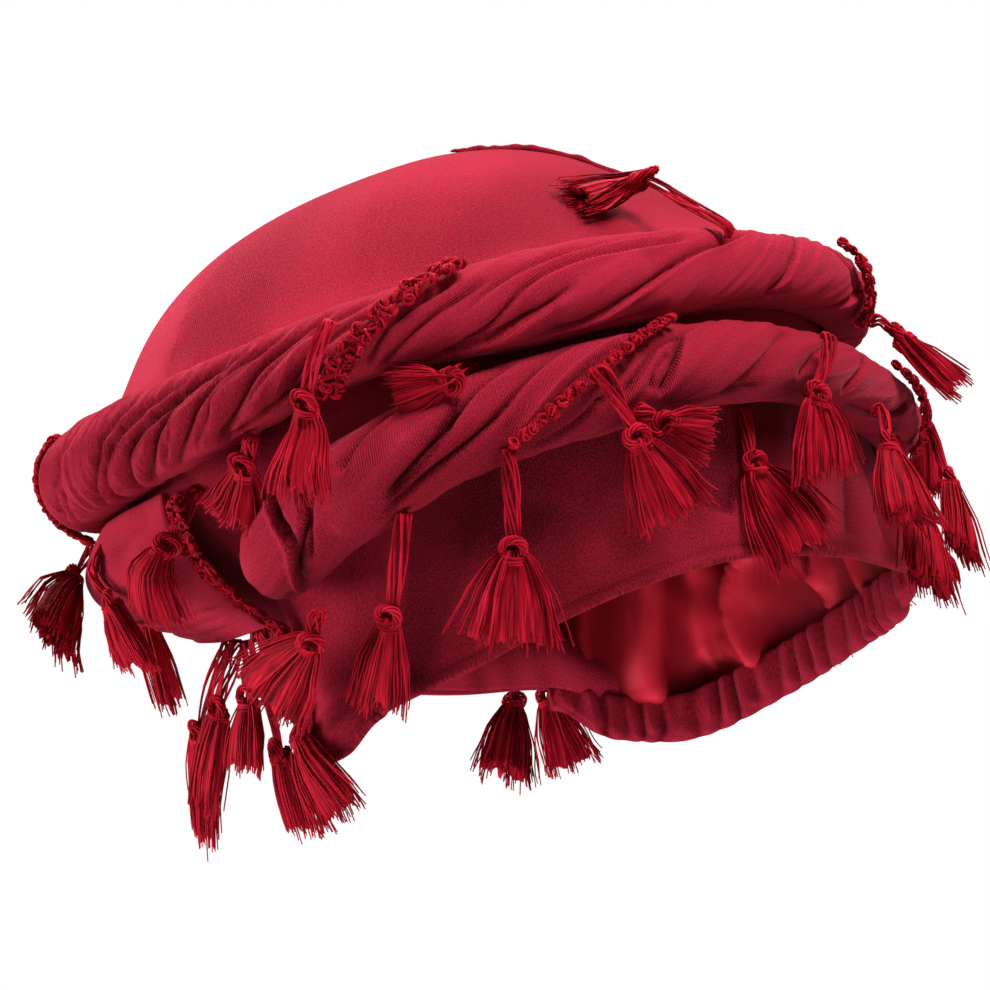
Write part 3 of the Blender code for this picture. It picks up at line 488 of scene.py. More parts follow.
    def crest_seam(self) -> None:
        """The rolled seam that stands up along the crest."""
        knots = np.linspace(0, 1, len(self.crest))
        where = np.linspace(0, 1, 120)
        angle, level = (Curve.of(tuple(zip(knots, *zip(*self.crest))), i)(where) for i in (1, 2))
        lift = self.relief(angle, level) + 0.3 * MM + 0.3 * MM * ripple(where, where * 0, 0.09, 6)
        spread = self.crest_radius * (1 + 0.2 * ripple(where, where * 0, 0.05, 7))
        path = place(angle, self.reach_at_level(angle, level), self.height_at_level(angle, level))
        out = path - np.array((0.0, 0.0, 0.4 * self.height))
        path = path + unit(out) * lift[:, None]
        seam = tube(path, spread * ease(where * 12 + 0.3), 8, -0.9)
        add_piece("crest_seam_jersey", [seam], self.finish, "crimson_jersey", "crown_cap")

    def build(self, roll: "Roll") -> None:
        """The cap's outer face, one patch for each gore, with a wall added inwards, drawn up to the roll.

        Args:
            roll: The upper roll, which the cloth rises to meet.
        """
        patches = []
        ends = (*self.seams[1:], self.seams[0] + 360.0)
        for start, end, tones in zip(self.seams, ends, self.gore_painted_shade):
            columns = round((end - start) / self.step) + 1
            share, across = np.meshgrid(np.linspace(0, 1, 72), np.linspace(0, 1, columns), indexing="ij")
            angle, level = start + (end - start) * across, self.levels(share)
            relief = self.relief(angle, level)
            _, middle, girth = roll.centre(angle)
            rise = self.height_at_level(angle, level) - middle - 0.7 * girth
            relief = relief + self.hug_rise * np.exp(-((rise / self.hug_reach) ** 2))
            reach = np.maximum(self.reach_at_level(angle, level) + relief, 0.0) * (share < 1)
            points = place(angle, reach, self.height_at_level(angle, level))
            points[share == 1, :2] = -0.5 * self.lean_right, -0.5 * self.lean_forward
            # Painted light and shade on the gore's facet, fading out towards the crest; the relief adds
            # painted shade in the seams and dents and painted light on the bumps
            tone = (tones[0] + (tones[1] - tones[0]) * across) * ease((self.painted_shade_end - level) / 0.14)
            width = np.radians(end - start) * CLOTH_REACH * np.maximum(self.width_share(level), 0.05)
            chart = np.stack(((across - 0.5) * width, level * self.height), axis=-1)
            patches.append(Patch(points, chart, relief / MM + tone))
        add_piece("cap_jersey", patches, self.finish, "crimson_jersey", "crown_cap", wall=self.wall)


@dataclass
class Lining:
    """The satin shell inside the cap, which hangs in big soft folds over the nape."""

    cap: Cap
    finish: Material
    wall: float = 1.0 * MM
    fold_depth: float = 4.6 * MM
    fold_gain: float = 1.35
    around: int = 8
    wander: float = 2.2
    tucked: Pair = (141.0, 236.0)
    tuck: float = 2.4 * MM
    # Places are an angle round the head and a height in millimetres
    folds: tuple[Fold, ...] = tuple(Fold(*row) for row in (
        (((206, 34), (209, 16), (213, -2), (214, -17)), -6, 9, 2.2),
        (((214, -16), (221, -13), (228, -15)), -3.5, 1.5, 2.6),
        (((222, 26), (226, 10), (227, -4)), -3, 2.4, 5),
        (((196, 30), (200, 8), (202, -8)), -4, 4.5, 2.4),
        (((181, 26), (190, 12), (193, -2), (191, -17)), -7, 1.8, 5),
        (((182, 26), (173, 14), (168, 2)), -4, 5, 4),
        (((163, 24), (167, 10), (172, -6)), -3.5, 2, 4),
        (((154, 20), (158, 6), (160, -6)), -3, 3, 2),
        (((198, -2), (194, -10), (190, -16)), -2, 1.6, 2.4),
    ))

    def relief(self, angle: Array, level: Array) -> Array:
        """How far the folds stand in from the cap, in metres.

        Args:
            angle: Angles round the head.
            level: Shares of the height.

        Returns:
            The distance inwards at each place.
        """
        wave = 0.5 + 0.5 * np.sin(np.radians(angle * self.around) + self.wander * np.sin(np.radians(angle)))
        fade = ease(level / 0.12) * ease((0.95 - level) / 0.5)
        x, y, _ = np.moveaxis(place(angle, 0.08, 0.0), -1, 0)
        fine = ripple(x, y + level * 0.13, 15 * MM, 11)
        height = self.cap.height_at_level(angle, level)
        drawn = self.fold_gain * fold_offset(self.folds, angle, height / MM, (np.radians(0.08), MM))
        rise = ease((height - self.cap.rim_height(angle)) / (4 * MM) + 0.25)
        total = self.fold_depth * fade * (0.75 * wave**0.8 + 0.22 * fine * wave) + drawn * rise
        return soft_max(total, 0.0, 0.6 * MM)

    def build(self) -> None:
        """The lining's face towards the head, with its wall behind it."""
        turns = np.concatenate((np.linspace(145, 245, 170), np.linspace(245, 505, 110)[1:]))
        share, angle = np.meshgrid(np.linspace(0, 1, 84), turns, indexing="ij")
        level = self.cap.levels(share)
        relief = self.relief(angle, level)
        near = self.cap.wall + CLOTH_GAP
        height = self.cap.height_at_level(angle, level) + CLOTH_GAP * (1 - level) ** 3 - near * level**2
        first, last = self.tucked
        height = height - self.tuck * ease((angle - first) / 4) * ease((last - angle) / 4) * (1 - level) ** 8
        reach = self.cap.reach_at_level(angle, level, near + relief) * (share < 1)
        points = place(angle, reach, height)
        points[share == 1, :2] = -0.5 * self.cap.lean_right, -0.5 * self.cap.lean_forward
        chart = np.stack((np.radians(angle) * 0.09, level * self.cap.height), axis=-1)
        # Painted shade: darker in the fold valleys and paler on the ridges
        patch = Patch(points, chart, relief / (6 * MM))
        add_piece("lining_satin", [patch], self.finish, "crimson_satin", "satin_lining", wall=self.wall)


class Station(NamedTuple):
    """A roll at one angle: its height and girth as shares, and degrees of twist for each degree round."""

    angle: float
    height: float
    girth: float
    twist: float


class Crease(NamedTuple):
    """A valley between two folds of a roll, which turns with the twist.

    Attributes:
        clock: Where it lies round the section.
        tight: Its depth in a tight twist, as a share of the girth.
        loose: Its depth in a loose twist.
        steep: The width of its steep side in degrees.
        gentle: The width of its gentle side in degrees.
        wander: How many degrees it strays.
    """

    clock: float
    tight: float
    loose: float
    steep: float
    gentle: float
    wander: float


ROLL_CREASES = tuple(Crease(*row) for row in (
    (68, 0.34, 0.06, 5, 20, 10),
    (205, 0.3, 0.05, 5, 18, 12),
    (322, 0.32, 0.16, 5, 18, 12),
    (26, 0.14, 0.17, 4, 14, 14),
    (108, 0.09, 0.15, 4, 14, 14),
    (150, 0.22, 0.05, 4, 13, 14),
    (180, 0.05, 0.16, 4, 16, 12),
    (262, 0.2, 0.15, 4, 15, 12),
    (292, 0.06, 0.04, 3, 9, 14),
))

# Folds drawn after the photo. Each place is an angle round the head and a clock on the roll
UPPER_FOLDS = tuple(Fold(*row) for row in (
    (((-15, 44), (-20, 1), (-22, -30), (-29, -70)), 2.2, 0.9, 3.6, 0.5),
    (((-18, 34), (-24, -14), (-30, -50)), 1.5, 0.8, 2.2, 0.2),
    (((-4, 58), (-10, 12), (-14, -28), (-19, -80)), 2.2, 1.1, 3.2, 0.3),
    (((4, 62), (-4, 24), (-10, -13), (-14, -60), (-17, -104)), 2.5, 1.1, 3.4, 0.3),
    (((8, 62), (0, 20), (-6, -14), (-9, -50), (-13, -106)), 2.6, 1.2, 3.2, 0.3),
    (((11, 60), (2, 22), (-3, -24), (-6, -60), (-11, -108)), 2.7, 1.1, 3, 0.3),
    (((9, 42), (1, 4), (-1, -26), (-4, -58)), 1.3, 0.9, 1.8),
    (((15, 58), (6, 18), (1, -32), (-4, -84)), 2.2, 1, 2.8, 0.2),
    (((14, 48), (6, 5), (4, -23), (0, -62)), 1.2, 0.9, 1.8),
    (((20, 58), (11, 8), (7, -35), (2, -76)), 2.4, 1.1, 3.2, 0.3),
    (((20, -28), (11, -52), (3, -74)), 1.9, 0.8, 2.6, 0.2),
    (((25, 55), (16, 22), (11, -10), (8, -34)), 1.2, 1, 2.2),
    (((29, 44), (20, 12), (15, -20), (11, -56)), 1.5, 0.9, 2.6),
    (((33, 46), (26, 7), (23, -21), (21, -50)), 1.4, 0.8, 2.4, 0.2),
    (((36, 30), (29, -6), (25, -35), (22, -62)), 1.7, 0.8, 2.8, 0.2),
    (((66, 56), (52, 50), (45, 43), (38, 24), (32, -12)), 1.1, 0.5, 2, 0.4),
    (((64, 36), (55, 30), (47, 27), (40, 8), (34, -38), (30, -58)), 1.8, 0.5, 2.4, 0.4),
    (((46, -2), (38, -36), (33, -58), (28, -70)), 2, 0.6, 2.6, 0.3),
    (((41, -20), (35, -44), (30, -62), (26, -76)), 1.5, 0.6, 2),
    (((79, 58), (71, 31), (62, 7), (54, -24), (46, -54), (38, -64)), 2.1, 0.5, 3.4, 0.5),
    (((58, -58), (48, -72), (40, -82)), 1.2, 0.8, 2),
    (((91, 56), (87, 21), (84, -6), (81, -36), (77, -62)), 1.9, 0.6, 2.6, 0.2),
    (((84, -50), (74, -70), (64, -78)), 1, 1, 3),
    (((112, -12), (106, -43), (99, -73), (92, -98)), 1.8, 0.6, 2.4, 0.3),
    (((102, 62), (104, 20), (107, -10), (110, -40)), 1.3, 0.8, 3),
    (((56, 10), (48, -12), (42, -30)), -0.9, 4, 4),
))

LOWER_FOLDS = tuple(Fold(*row) for row in (
    (((44, 70), (38, 32), (33, -8), (28, -33), (22, -50), (16, -66)), 2.2, 0.6, 3, 0.4),
    (((36, 60), (31, 30), (27, -2), (22, -29), (18, -50)), 2.8, 0.8, 2.6, 0.5),
    (((28, -2), (25, -22), (22, -38), (18, -54)), 1.5, 0.5, 1.2),
    (((29, 34), (28, 14), (27, -6)), 1.4, 0.8, 2.4),
    (((32, -60), (36, -32), (41, 4), (46, 34), (52, 66)), 1.9, 0.5, 6.5, 0.7),
    (((45, -21), (41, -50), (35, -80)), 1.3, 0.8, 2.6),
    (((60, 50), (54, 29), (51, 4), (47, -34)), 1.6, 0.7, 2.4, 0.3),
    (((58, 44), (56, 14), (54, -16), (52, -40)), 2.7, 0.7, 1.6, 0.5),
    (((55, 14), (52, -10), (51, -32)), 1.2, 0.6, 1.4),
    (((50, 22), (47, -6), (44, -36)), 1.2, 0.8, 2.2),
    (((78, 50), (73, 16), (68, -22), (62, -70)), 1.4, 2.6, 0.7, 0),
    (((70, -50), (60, -66), (50, -76)), 1.2, 1, 2.6),
    (((86, 30), (81, 0), (76, -44)), 1.3, 0.8, 2.4),
    (((97, 25), (93, -10), (88, -54)), 1.4, 0.8, 2.4, 0.2),
    (((113, -10), (108, -45), (100, -70), (90, -78)), 1.6, 0.6, 2, 0.2),
    (((3, -96), (5, -62), (7, -30), (7, -5), (6, 27), (5, 60)), 3.2, 0.5, 2, 0.8),
    (((5, -64), (7, -42), (10, -9), (10, 30)), 2.4, 0.5, 1.2, 0.3),
    (((12, 14), (10, -24), (8, -56)), 1.5, 0.6, 1.2),
    (((23, 62), (18, 38), (15, 8)), 1.8, 0.9, 3, 0.3),
    (((24, 12), (17, -18), (12, -50)), -0.8, 4, 4),
))


@dataclass
class Roll:
    """A scarf twisted into a roll that lies round the cap."""

    name: str
    node: str
    cap: Cap
    finish: Material
    rows: tuple[Station, ...]
    radius: float
    padding: float
    closed: bool
    seat: float = 0.50
    crest: float = 1.05
    divide_share: float = 0.90
    around: int = 120
    shown_middle: float = 42.0
    shown_half: float = 74.0
    shown_step: float = 0.28
    hidden_step: float = 0.9
    blend: float = 10.0
    end_share: float = 0.35
    end_degrees: float = 5.0
    closing_degrees: float = 8.0
    folds: tuple[Fold, ...] = ()
    fold_gain: float = 1.4
    ribs_across: bool = False
    over: "Roll | None" = None
    # Painted light and shade: the tone of the whole roll, and how much darker the painted shade makes it
    # below a clock
    tone: float = 0.0
    shade: float = 0.0
    painted_shade_from: float = 0.0

    def __post_init__(self) -> None:
        """Draw the curves through the stations, and add up the twist so that a ring's net closes."""
        period = 360.0 if self.closed else None
        self.height = Curve.of(self.rows, 1, period)
        self.girth = Curve.of(self.rows, 2, period)
        self.twist = Curve.of(self.rows, 3, period)
        self.first = self.rows[0].angle
        self.last = self.first + 360.0 if self.closed else self.rows[-1].angle
        self.steps = np.arange(self.first, self.last + 0.05, 0.1)
        rates = self.twist(self.steps)
        turns = np.concatenate(([0.0], np.cumsum(0.05 * (rates[1:] + rates[:-1]))))
        whole = 360.0 * round(turns[-1] / 360.0) / turns[-1] if self.closed else 1.0
        self.turns = turns * whole

    def centre(self, angle: Array) -> tuple[Array, Array, Array]:
        """The reach and height of the section's middle at an angle, and its half thickness."""
        girth, height = self.radius * self.girth(angle), self.cap.height * self.height(angle)
        return self.cap.reach(angle, height) + self.padding + self.seat * girth, height, girth

    def turn(self, angle: Array) -> Array:
        """How many degrees the roll has twisted at an angle."""
        return np.interp((angle - self.first) % 360.0 + self.first, self.steps, self.turns)

    def divide(self, angle: Array) -> Array:
        """The height where this roll ends below and what lies under it may begin."""
        _, height, girth = self.centre(angle)
        return height - self.divide_share * girth

    def drawn(self, angle: Array) -> Array:
        """1 where the folds are drawn, 0 on the far side, where creases follow the twist."""
        away = np.abs((angle - self.shown_middle + 180.0) % 360.0 - 180.0) - self.shown_half
        return ease(0.5 - away / self.blend)

    def stations(self) -> Array:
        """Angles along the roll, closer together where the folds are drawn.

        Returns:
            The angles.
        """
        angles = [self.first]
        while angles[-1] < self.last - 1e-6:
            step = self.shown_step if self.drawn(angles[-1]) > 0.01 else self.hidden_step
            angles.append(min(angles[-1] + step, self.last))
        return np.array(angles)

    def swell(self, angle: Array, phase: Array) -> Array:
        """The reach of the folds at a phase of the twist, as a share of the girth.

        Args:
            angle: Angles round the head.
            phase: Degrees round the section, counted along the twist.

        Returns:
            The shares of the girth.
        """
        # 1 where the roll is twisted tight like a rope, 0 where it lies in long loose folds
        tight = ease((self.twist(angle) - 8.0) / 10.0)
        drawn = self.drawn(angle)
        total = np.full(np.shape(phase), self.crest)
        along = np.radians(angle) * CLOTH_REACH
        for number, crease in enumerate(ROLL_CREASES):
            stray = crease.wander * ripple(along, 0.0, 33 * MM, 20 + number)
            alive = 0.66 + 0.34 * ripple(along, 0.0, 27 * MM, 40 + number)
            away = (phase - crease.clock - stray + 180.0) % 360.0 - 180.0
            near = np.sqrt(away**2 + 1.0) - 1.0
            shape = np.exp(-near / np.where(away < 0, crease.steep, crease.gentle))
            deep = crease.tight * tight + crease.loose * (1 - tight)
            total = total - deep * alive * shape * (1 - 0.93 * drawn)
        turn = np.radians(phase)
        x, y = self.radius * np.cos(turn), self.radius * np.sin(turn)
        soft = 0.030 * ripple(along * 0.35 + x, y, 11 * MM, 60) * drawn
        x = along * 0.2 + x
        fine = 0.016 * ripple(x, y, 5 * MM, 61) + 0.007 * ripple(x, y, 2.4 * MM, 62)
        return total + soft + fine - 0.02 - 0.03 * drawn

    def point(self, angle: Array, clock: Array, swell: Array, thin: Array = 1.0) -> Array:
        """Points of the skin, kept off the cap and off the other roll.

        Args:
            angle: Angles round the head.
            clock: Degrees round the section.
            swell: How far out each point lies, as a share of the girth.
            thin: How much narrower the section is.

        Returns:
            The points.
        """
        reach, height, girth = self.centre(angle)
        turn = np.radians(clock)
        out = reach + girth * thin * swell * np.cos(turn)
        up = height + girth * thin * swell * np.sin(turn)
        if self.over is None:
            up = soft_max(up, self.divide(angle), 1.2 * MM)
        else:
            up = -soft_max(-up, CLOTH_GAP - self.over.divide(angle), 1.2 * MM)
        out = soft_max(out, self.cap.reach(angle, up) + self.padding, 0.8 * MM)
        return place(angle, out, up)

    def thinned(self, angle: Array) -> Array:
        """How much narrower the roll is near its two ends.

        Args:
            angle: Angles round the head.

        Returns:
            The share of its full girth.
        """
        if self.closed:
            return np.ones(np.shape(angle))
        nearest = np.minimum(np.minimum(angle - self.first, self.last - angle) / self.end_degrees, 1.0)
        return self.end_share + (1 - self.end_share) * np.sqrt(np.maximum(1 - (1 - nearest) ** 2, 0.0))

    def build(self) -> None:
        """The roll's cloth, whose net turns with its folds."""
        phase, angle = np.meshgrid(np.linspace(0, 360, self.around + 1), self.stations(), indexing="ij")
        turn = self.turn(angle)
        if self.closed:
            turn[:, -1] = self.turns[-1]
        clock = phase + turn
        swell = self.swell(angle, phase)
        if self.closed:
            closing = ease((angle - self.last) / self.closing_degrees + 1)
            swell = swell * (1 - closing) + self.swell(angle - 360.0, phase) * closing
        _, _, girth = self.centre(angle)
        turned = (clock + 180.0) % 360.0 - 180.0
        angle_here = (angle + 180.0) % 360.0 - 180.0
        scale = (np.radians(FOLD_REACH), np.radians(self.radius))
        drawn = self.fold_gain * fold_offset(self.folds, angle_here, turned, scale)
        points = self.point(angle, clock, swell + drawn / girth, self.thinned(angle))
        chart = np.stack((np.radians(phase) * self.radius * 0.9, np.radians(angle) * CLOTH_REACH), axis=-1)
        if self.ribs_across:
            chart = np.stack((np.radians(angle) * FOLD_REACH, np.radians(turned) * self.radius), axis=-1)
        # Painted shade: darker in the creases and the drawn folds, paler on their crests, and darker below a
        # clock on the roll's underside; the roll's own tone paints the upper roll paler and the lower one
        # darker
        low = ease((self.painted_shade_from - turned) / 70) * ease((turned + 150) / 30)
        tone = (swell - 0.97) * 8 + drawn / MM * 0.75 + self.tone - self.shade * low
        patch = Patch(points, chart, tone)
        add_piece(self.name, [patch], self.finish, "crimson_jersey", self.node, fill=not self.closed)

    def surface(self, angle: Array, clock: Array, lift: Array) -> tuple[Array, Array]:
        """The reach and the height of a point that lies a lift off the highest folds."""
        (reach, height, girth), turn = self.centre(angle), np.radians(clock)
        return reach + (girth * 1.06 + lift) * np.cos(turn), height + (girth * 1.06 + lift) * np.sin(turn)

    def outer(self, angle: float, height: float) -> float:
        """The outer face at an angle and a height, or 0 where the roll isn't.

        Args:
            angle: An angle round the head.
            height: A height.

        Returns:
            The distance from the axis.
        """
        if not self.closed and not self.first - 1 <= angle <= self.last + 1:
            return 0.0
        reach, middle, girth = (float(x) for x in self.centre(angle))
        rise, girth = height - middle, girth * 1.06
        return reach + math.sqrt(girth**2 - rise**2) if abs(rise) < girth else 0.0


UPPER_STATIONS = tuple(Station(*row) for row in (
    (0, 0.52, 0.86, 20),
    (20, 0.545, 0.76, 9),
    (38, 0.54, 0.9, 5),
    (58, 0.544, 0.88, 5),
    (78, 0.541, 0.78, 5),
    (100, 0.528, 0.78, 5.5),
    (130, 0.51, 0.8, 6),
    (180, 0.5, 0.84, 6),
    (225, 0.515, 0.88, 8),
    (265, 0.54, 0.92, 14),
    (310, 0.562, 0.98, 22),
    (335, 0.53, 0.94, 24),
))

LOWER_STATIONS = tuple(Station(*row) for row in (
    (-5, 0.24, 0.62, 3),
    (2, 0.255, 0.96, 4),
    (12, 0.3, 0.98, 4),
    (28, 0.349, 0.92, 5),
    (48, 0.365, 0.88, 5),
    (68, 0.366, 0.8, 5),
    (90, 0.33, 0.74, 5),
    (112, 0.278, 0.74, 5.5),
    (135, 0.26, 0.76, 6),
    (158, 0.262, 0.74, 6),
    (178, 0.27, 0.6, 6),
))


def wall_net(rows: int, angles: Array) -> tuple[Array, Array, Array, Array]:
    """The net of a wall of cloth: down its outer face, round its hem, and up inside to the start.

    Args:
        rows: How many rows the outer face has.
        angles: The columns' angles round the head.

    Returns:
        At each point the share of the way down, of the thickness, and of the hem's radius, and the angle.
    """
    down, up = np.linspace(0, 1, rows), np.linspace(1, 0, INNER_ROWS)
    turn = np.linspace(0, math.pi, HEM_ROWS + 2)[1:-1]
    share = np.concatenate((down, np.ones(HEM_ROWS), up, [0.0]))
    depth = np.concatenate((np.ones(rows), 0.5 + 0.5 * np.cos(turn), np.zeros(INNER_ROWS), [1.0]))
    drop = np.concatenate((np.zeros(rows), np.sin(turn), np.zeros(INNER_ROWS), [0.0]))
    share, angle = np.meshgrid(share, angles, indexing="ij")
    depth, drop = (np.broadcast_to(x[:, None], share.shape) for x in (depth, drop))
    return share, depth, drop, angle


@dataclass
class BrowBand:
    """The smooth folded band over the brow and the left side, with its hanging front flap."""

    cap: Cap
    roll: Roll
    finish: Material
    wall: float = 2.4 * MM
    # How far the flap stands off the head, and where the cloth leaves the roll, as a share of its girth
    standoff: float = 17.0 * MM
    release: float = 1.10
    # How the knit's ribs slant on the flap
    grain: float = math.radians(-38.0)
    # The share of the way down at which the painted shade under the roll ends
    painted_shade_share: float = 0.9
    # The width along the head and the depth that it was cut to
    cut: Pair = (0.260, 0.044)
    # How far from the axis, and how deep, its cloth is measured
    measure: Pair = (0.095, 0.045)
    # Angle, height of the top and of the hem, standoff, and how far the hem slides round: shares, and degrees
    rows: Rows = (
        (-9, 0.19, -0.068, 0.75, -8),
        (-5, 0.2, -0.118, 0.82, -6),
        (0, 0.22, -0.122, 0.76, -5),
        (4, 0.23, -0.08, 0.62, -3.5),
        (9, 0.25, -0.06, 0.42, -2.5),
        (18, 0.3, -0.042, 0.18, -1),
        (30, 0.34, -0.008, 0.04, 0),
        (46, 0.355, 0.018, 0, 0),
        (62, 0.36, 0.024, 0, 0),
        (76, 0.345, 0.008, 0, 0),
        (92, 0.315, -0.02, 0, 0),
        (106, 0.285, -0.05, 0, 0),
        (122, 0.265, -0.052, 0, 0),
        (138, 0.255, -0.032, 0, 0),
    )
    folds: tuple[Fold, ...] = tuple(Fold(*row) for row in (
        (((22, 0.1), (17, 0.45), (11, 0.75), (7, 1)), 3.2, 7, 6),
        (((66, 0.12), (66, 0.4), (65, 0.62), (63, 0.8)), 2.6, 9, 0.9),
        (((-6, 0.3), (-3, 0.66), (0, 0.92)), -1.2, 6, 3.5),
        (((3, 0.9), (4, 0.97), (5, 1.02)), 1.6, 1.6, 1.6),
        (((10, 0.955), (30, 0.955), (60, 0.95), (96, 0.95)), 0.45, 0.5, 0.6, 0.25),
        (((34, 0.35), (28, 0.62), (22, 0.85)), 1.2, 7, 7),
        (((84, 0.2), (80, 0.55), (74, 0.82)), 1.3, 1.6, 4, 0.2),
        (((98, 0.24), (95, 0.6), (90, 0.9)), 1.2, 1.2, 4, 0.2),
        (((108, 0.3), (106, 0.62), (103, 0.92)), 0.9, 1, 3, 0.2),
    ))

    def __post_init__(self) -> None:
        """Draw the curves through the rows."""
        self.top, self.bottom, self.off, self.slant = (Curve.of(self.rows, i) for i in (1, 2, 3, 4))
        self.first, self.last = self.rows[0][0], self.rows[-1][0]

    def edges(self, angle: Array) -> tuple[Array, Array]:
        """The heights of the top and of the hem."""
        return self.cap.height * self.top(angle), self.cap.height * self.bottom(angle)

    def spot(self, angle: Array, share: Array, depth: Array) -> tuple[Array, Array, Array]:
        """A place in the cloth, at a share of the way down.

        Args:
            angle: Angles round the head, at the top edge.
            share: Shares of the way down.
            depth: Distances out from the inner face.

        Returns:
            The angle, the reach and the height of each place.
        """
        top, bottom = self.edges(angle)
        height = top + (bottom - top) * share
        turned = angle + self.slant(angle) * share
        _, roll_height, girth = self.roll.centre(np.maximum(turned, self.roll.first))
        release = roll_height - self.release * girth
        free = ease((release - height) / (release - bottom))
        off = self.standoff * self.off(angle) * free
        rim = self.cap.rim_height(turned)
        reach = self.cap.reach(turned, np.maximum(height, rim)) + CLOTH_GAP + off + depth
        return turned, reach, height

    def build(self) -> None:
        """The band as a closed wall of cloth with a round hem."""
        angles = np.concatenate((np.linspace(self.first, 18, 80), np.linspace(18, self.last, 190)[1:]))
        share, depth, drop, angle = wall_net(66, angles)
        turned, reach, height = self.spot(angle, share * 0.985, depth * self.wall)
        wide, deep = self.measure
        relief = fold_offset(self.folds, angle, share, (np.radians(wide), deep)) * ease(share * 6)
        soft = 0.5 * MM * ripple(np.radians(angle) * 0.09, share * deep, 17 * MM, 71)
        soft = soft * ease((share - 0.1) * 3)
        least = self.cap.reach(turned, np.maximum(height, self.cap.rim_height(turned))) + 0.5 * CLOTH_GAP
        reach = soft_max(reach + relief + soft, least + depth * 0.5 * self.wall, 0.6 * MM)
        points = place(turned, reach, height - drop * 0.5 * self.wall * 0.8)
        front = ease((24.0 - angle) / 16.0)
        lean = self.grain * front
        across = np.radians(angle) * wide
        chart = np.stack((across * np.cos(lean) + height * np.sin(lean), height * np.cos(lean)), axis=-1)
        # Painted shade: darker under the roll, fading out towards the hem, less on the flap, and darker in
        # the folds
        shade = (1.25 + 1.5 * ease(1 - share / self.painted_shade_share)) * (1 - 0.65 * front)
        patch = Patch(points, chart, (relief + soft) / MM - shade)
        piece = add_piece("band_jersey", [patch], self.finish, "crimson_jersey", "brow_band", fill=True)


@dataclass
class SideWrap:
    """The smooth scarf layer on the right side and the back: a hollow bulge that turns in at its hem."""

    cap: Cap
    roll: Roll
    finish: Material
    wall: float = 2.2 * MM
    # How far it stands off the cap, and where it starts and how much it has of half a wave's bulge
    bulge: float = 23.0 * MM
    wave_start: float = 0.10
    wave_span: float = 0.76
    # How much paler it is painted, as painted light
    tone: float = 1.1
    # The width along the head and the depth that it was cut to
    cut: Pair = (0.330, 0.043)
    # How far from the axis, and how deep, its cloth is measured
    measure: Pair = (0.11, 0.040)
    # Angle, height of the top and of the hem, and bulge, as shares
    rows: Rows = (
        (184, 0.42, 0.13, 0.35),
        (210, 0.43, 0.12, 0.55),
        (230, 0.44, 0.14, 0.62),
        (250, 0.45, 0.19, 0.72),
        (270, 0.46, 0.26, 0.86),
        (290, 0.47, 0.295, 1),
        (305, 0.47, 0.27, 1.05),
        (320, 0.46, 0.21, 1),
        (335, 0.44, 0.165, 0.8),
        (348, 0.43, 0.15, 0.45),
    )
    folds: tuple[Fold, ...] = tuple(Fold(*row) for row in (
        (((316, 0.74), (332, 0.78), (347, 0.8)), 1.3, 0.6, 0.9, 0.5),
        (((304, 0.81), (324, 0.84), (347, 0.87)), 1.3, 0.6, 0.9, 0.5),
        (((300, 0.88), (322, 0.91), (347, 0.94)), 1.1, 0.6, 0.8, 0.4),
        (((326, 0.52), (334, 0.6), (342, 0.62)), 1.5, 2, 4),
        (((318, 0.62), (328, 0.72), (338, 0.74)), 1.2, 2, 3),
        (((348, 0.3), (345, 0.55), (341, 0.74)), 1.4, 1.5, 3),
        (((346, 0.1), (338, 0.22), (326, 0.26)), 0.9, 3, 4),
        (((300, 0.3), (288, 0.55), (280, 0.85)), 1.4, 1.4, 5, 0.3),
        (((272, 0.15), (262, 0.5), (256, 0.85)), 1.4, 1.2, 5, 0.3),
        (((246, 0.1), (238, 0.5), (234, 0.9)), 1.2, 1.2, 5, 0.3),
        (((222, 0.1), (216, 0.5), (214, 0.9)), 1.2, 1.2, 4, 0.3),
        (((204, 0.15), (199, 0.5), (197, 0.85)), 1, 1.2, 4, 0.3),
    ))

    def __post_init__(self) -> None:
        """Draw the curves through the rows."""
        self.top, self.bottom, self.off = (Curve.of(self.rows, i) for i in (1, 2, 3))
        self.first, self.last = self.rows[0][0], self.rows[-1][0]

    def edges(self, angle: Array) -> tuple[Array, Array]:
        """The heights of the top, under the upper roll, and of the hem."""
        top = np.minimum(self.cap.height * self.top(angle), self.roll.divide(angle) - CLOTH_GAP)
        return top, self.cap.height * self.bottom(angle)

    def spot(self, angle: Array, share: Array, depth: Array) -> tuple[Array, Array, Array]:
        """A place in the cloth, at a share of the way down.

        Args:
            angle: Angles round the head, at the top edge.
            share: Shares of the way down.
            depth: Distances out from the inner face.

        Returns:
            The angle, the reach and the height of each place.
        """
        top, bottom = self.edges(angle)
        height = top + (bottom - top) * share
        wave = np.sin(math.pi * (self.wave_start + self.wave_span * share))
        off = self.bulge * self.off(angle) * wave
        return angle, self.cap.reach(angle, height) + CLOTH_GAP + off + depth, height

    def build(self) -> None:
        """The wrap as a closed wall of cloth with a round hem."""
        share, depth, drop, angle = wall_net(60, np.linspace(self.first, self.last, 260))
        turned, reach, height = self.spot(angle, share * 0.98, depth * self.wall)
        wide, deep = self.measure
        relief = fold_offset(self.folds, angle, share, (np.radians(wide), deep))
        soft = 0.6 * MM * ripple(np.radians(angle) * CLOTH_REACH, share * deep, 19 * MM, 81)
        points = place(turned, reach + relief + soft, height - drop * 0.5 * self.wall * 0.8)
        chart = np.stack((np.radians(angle) * wide, share * deep), axis=-1)
        # Painted shade in the folds and painted light over the whole wrap
        patch = Patch(points, chart, (relief + soft) / MM + self.tone)
        piece = add_piece("wrap_jersey", [patch], self.finish, "crimson_jersey", "side_wrap", fill=True)


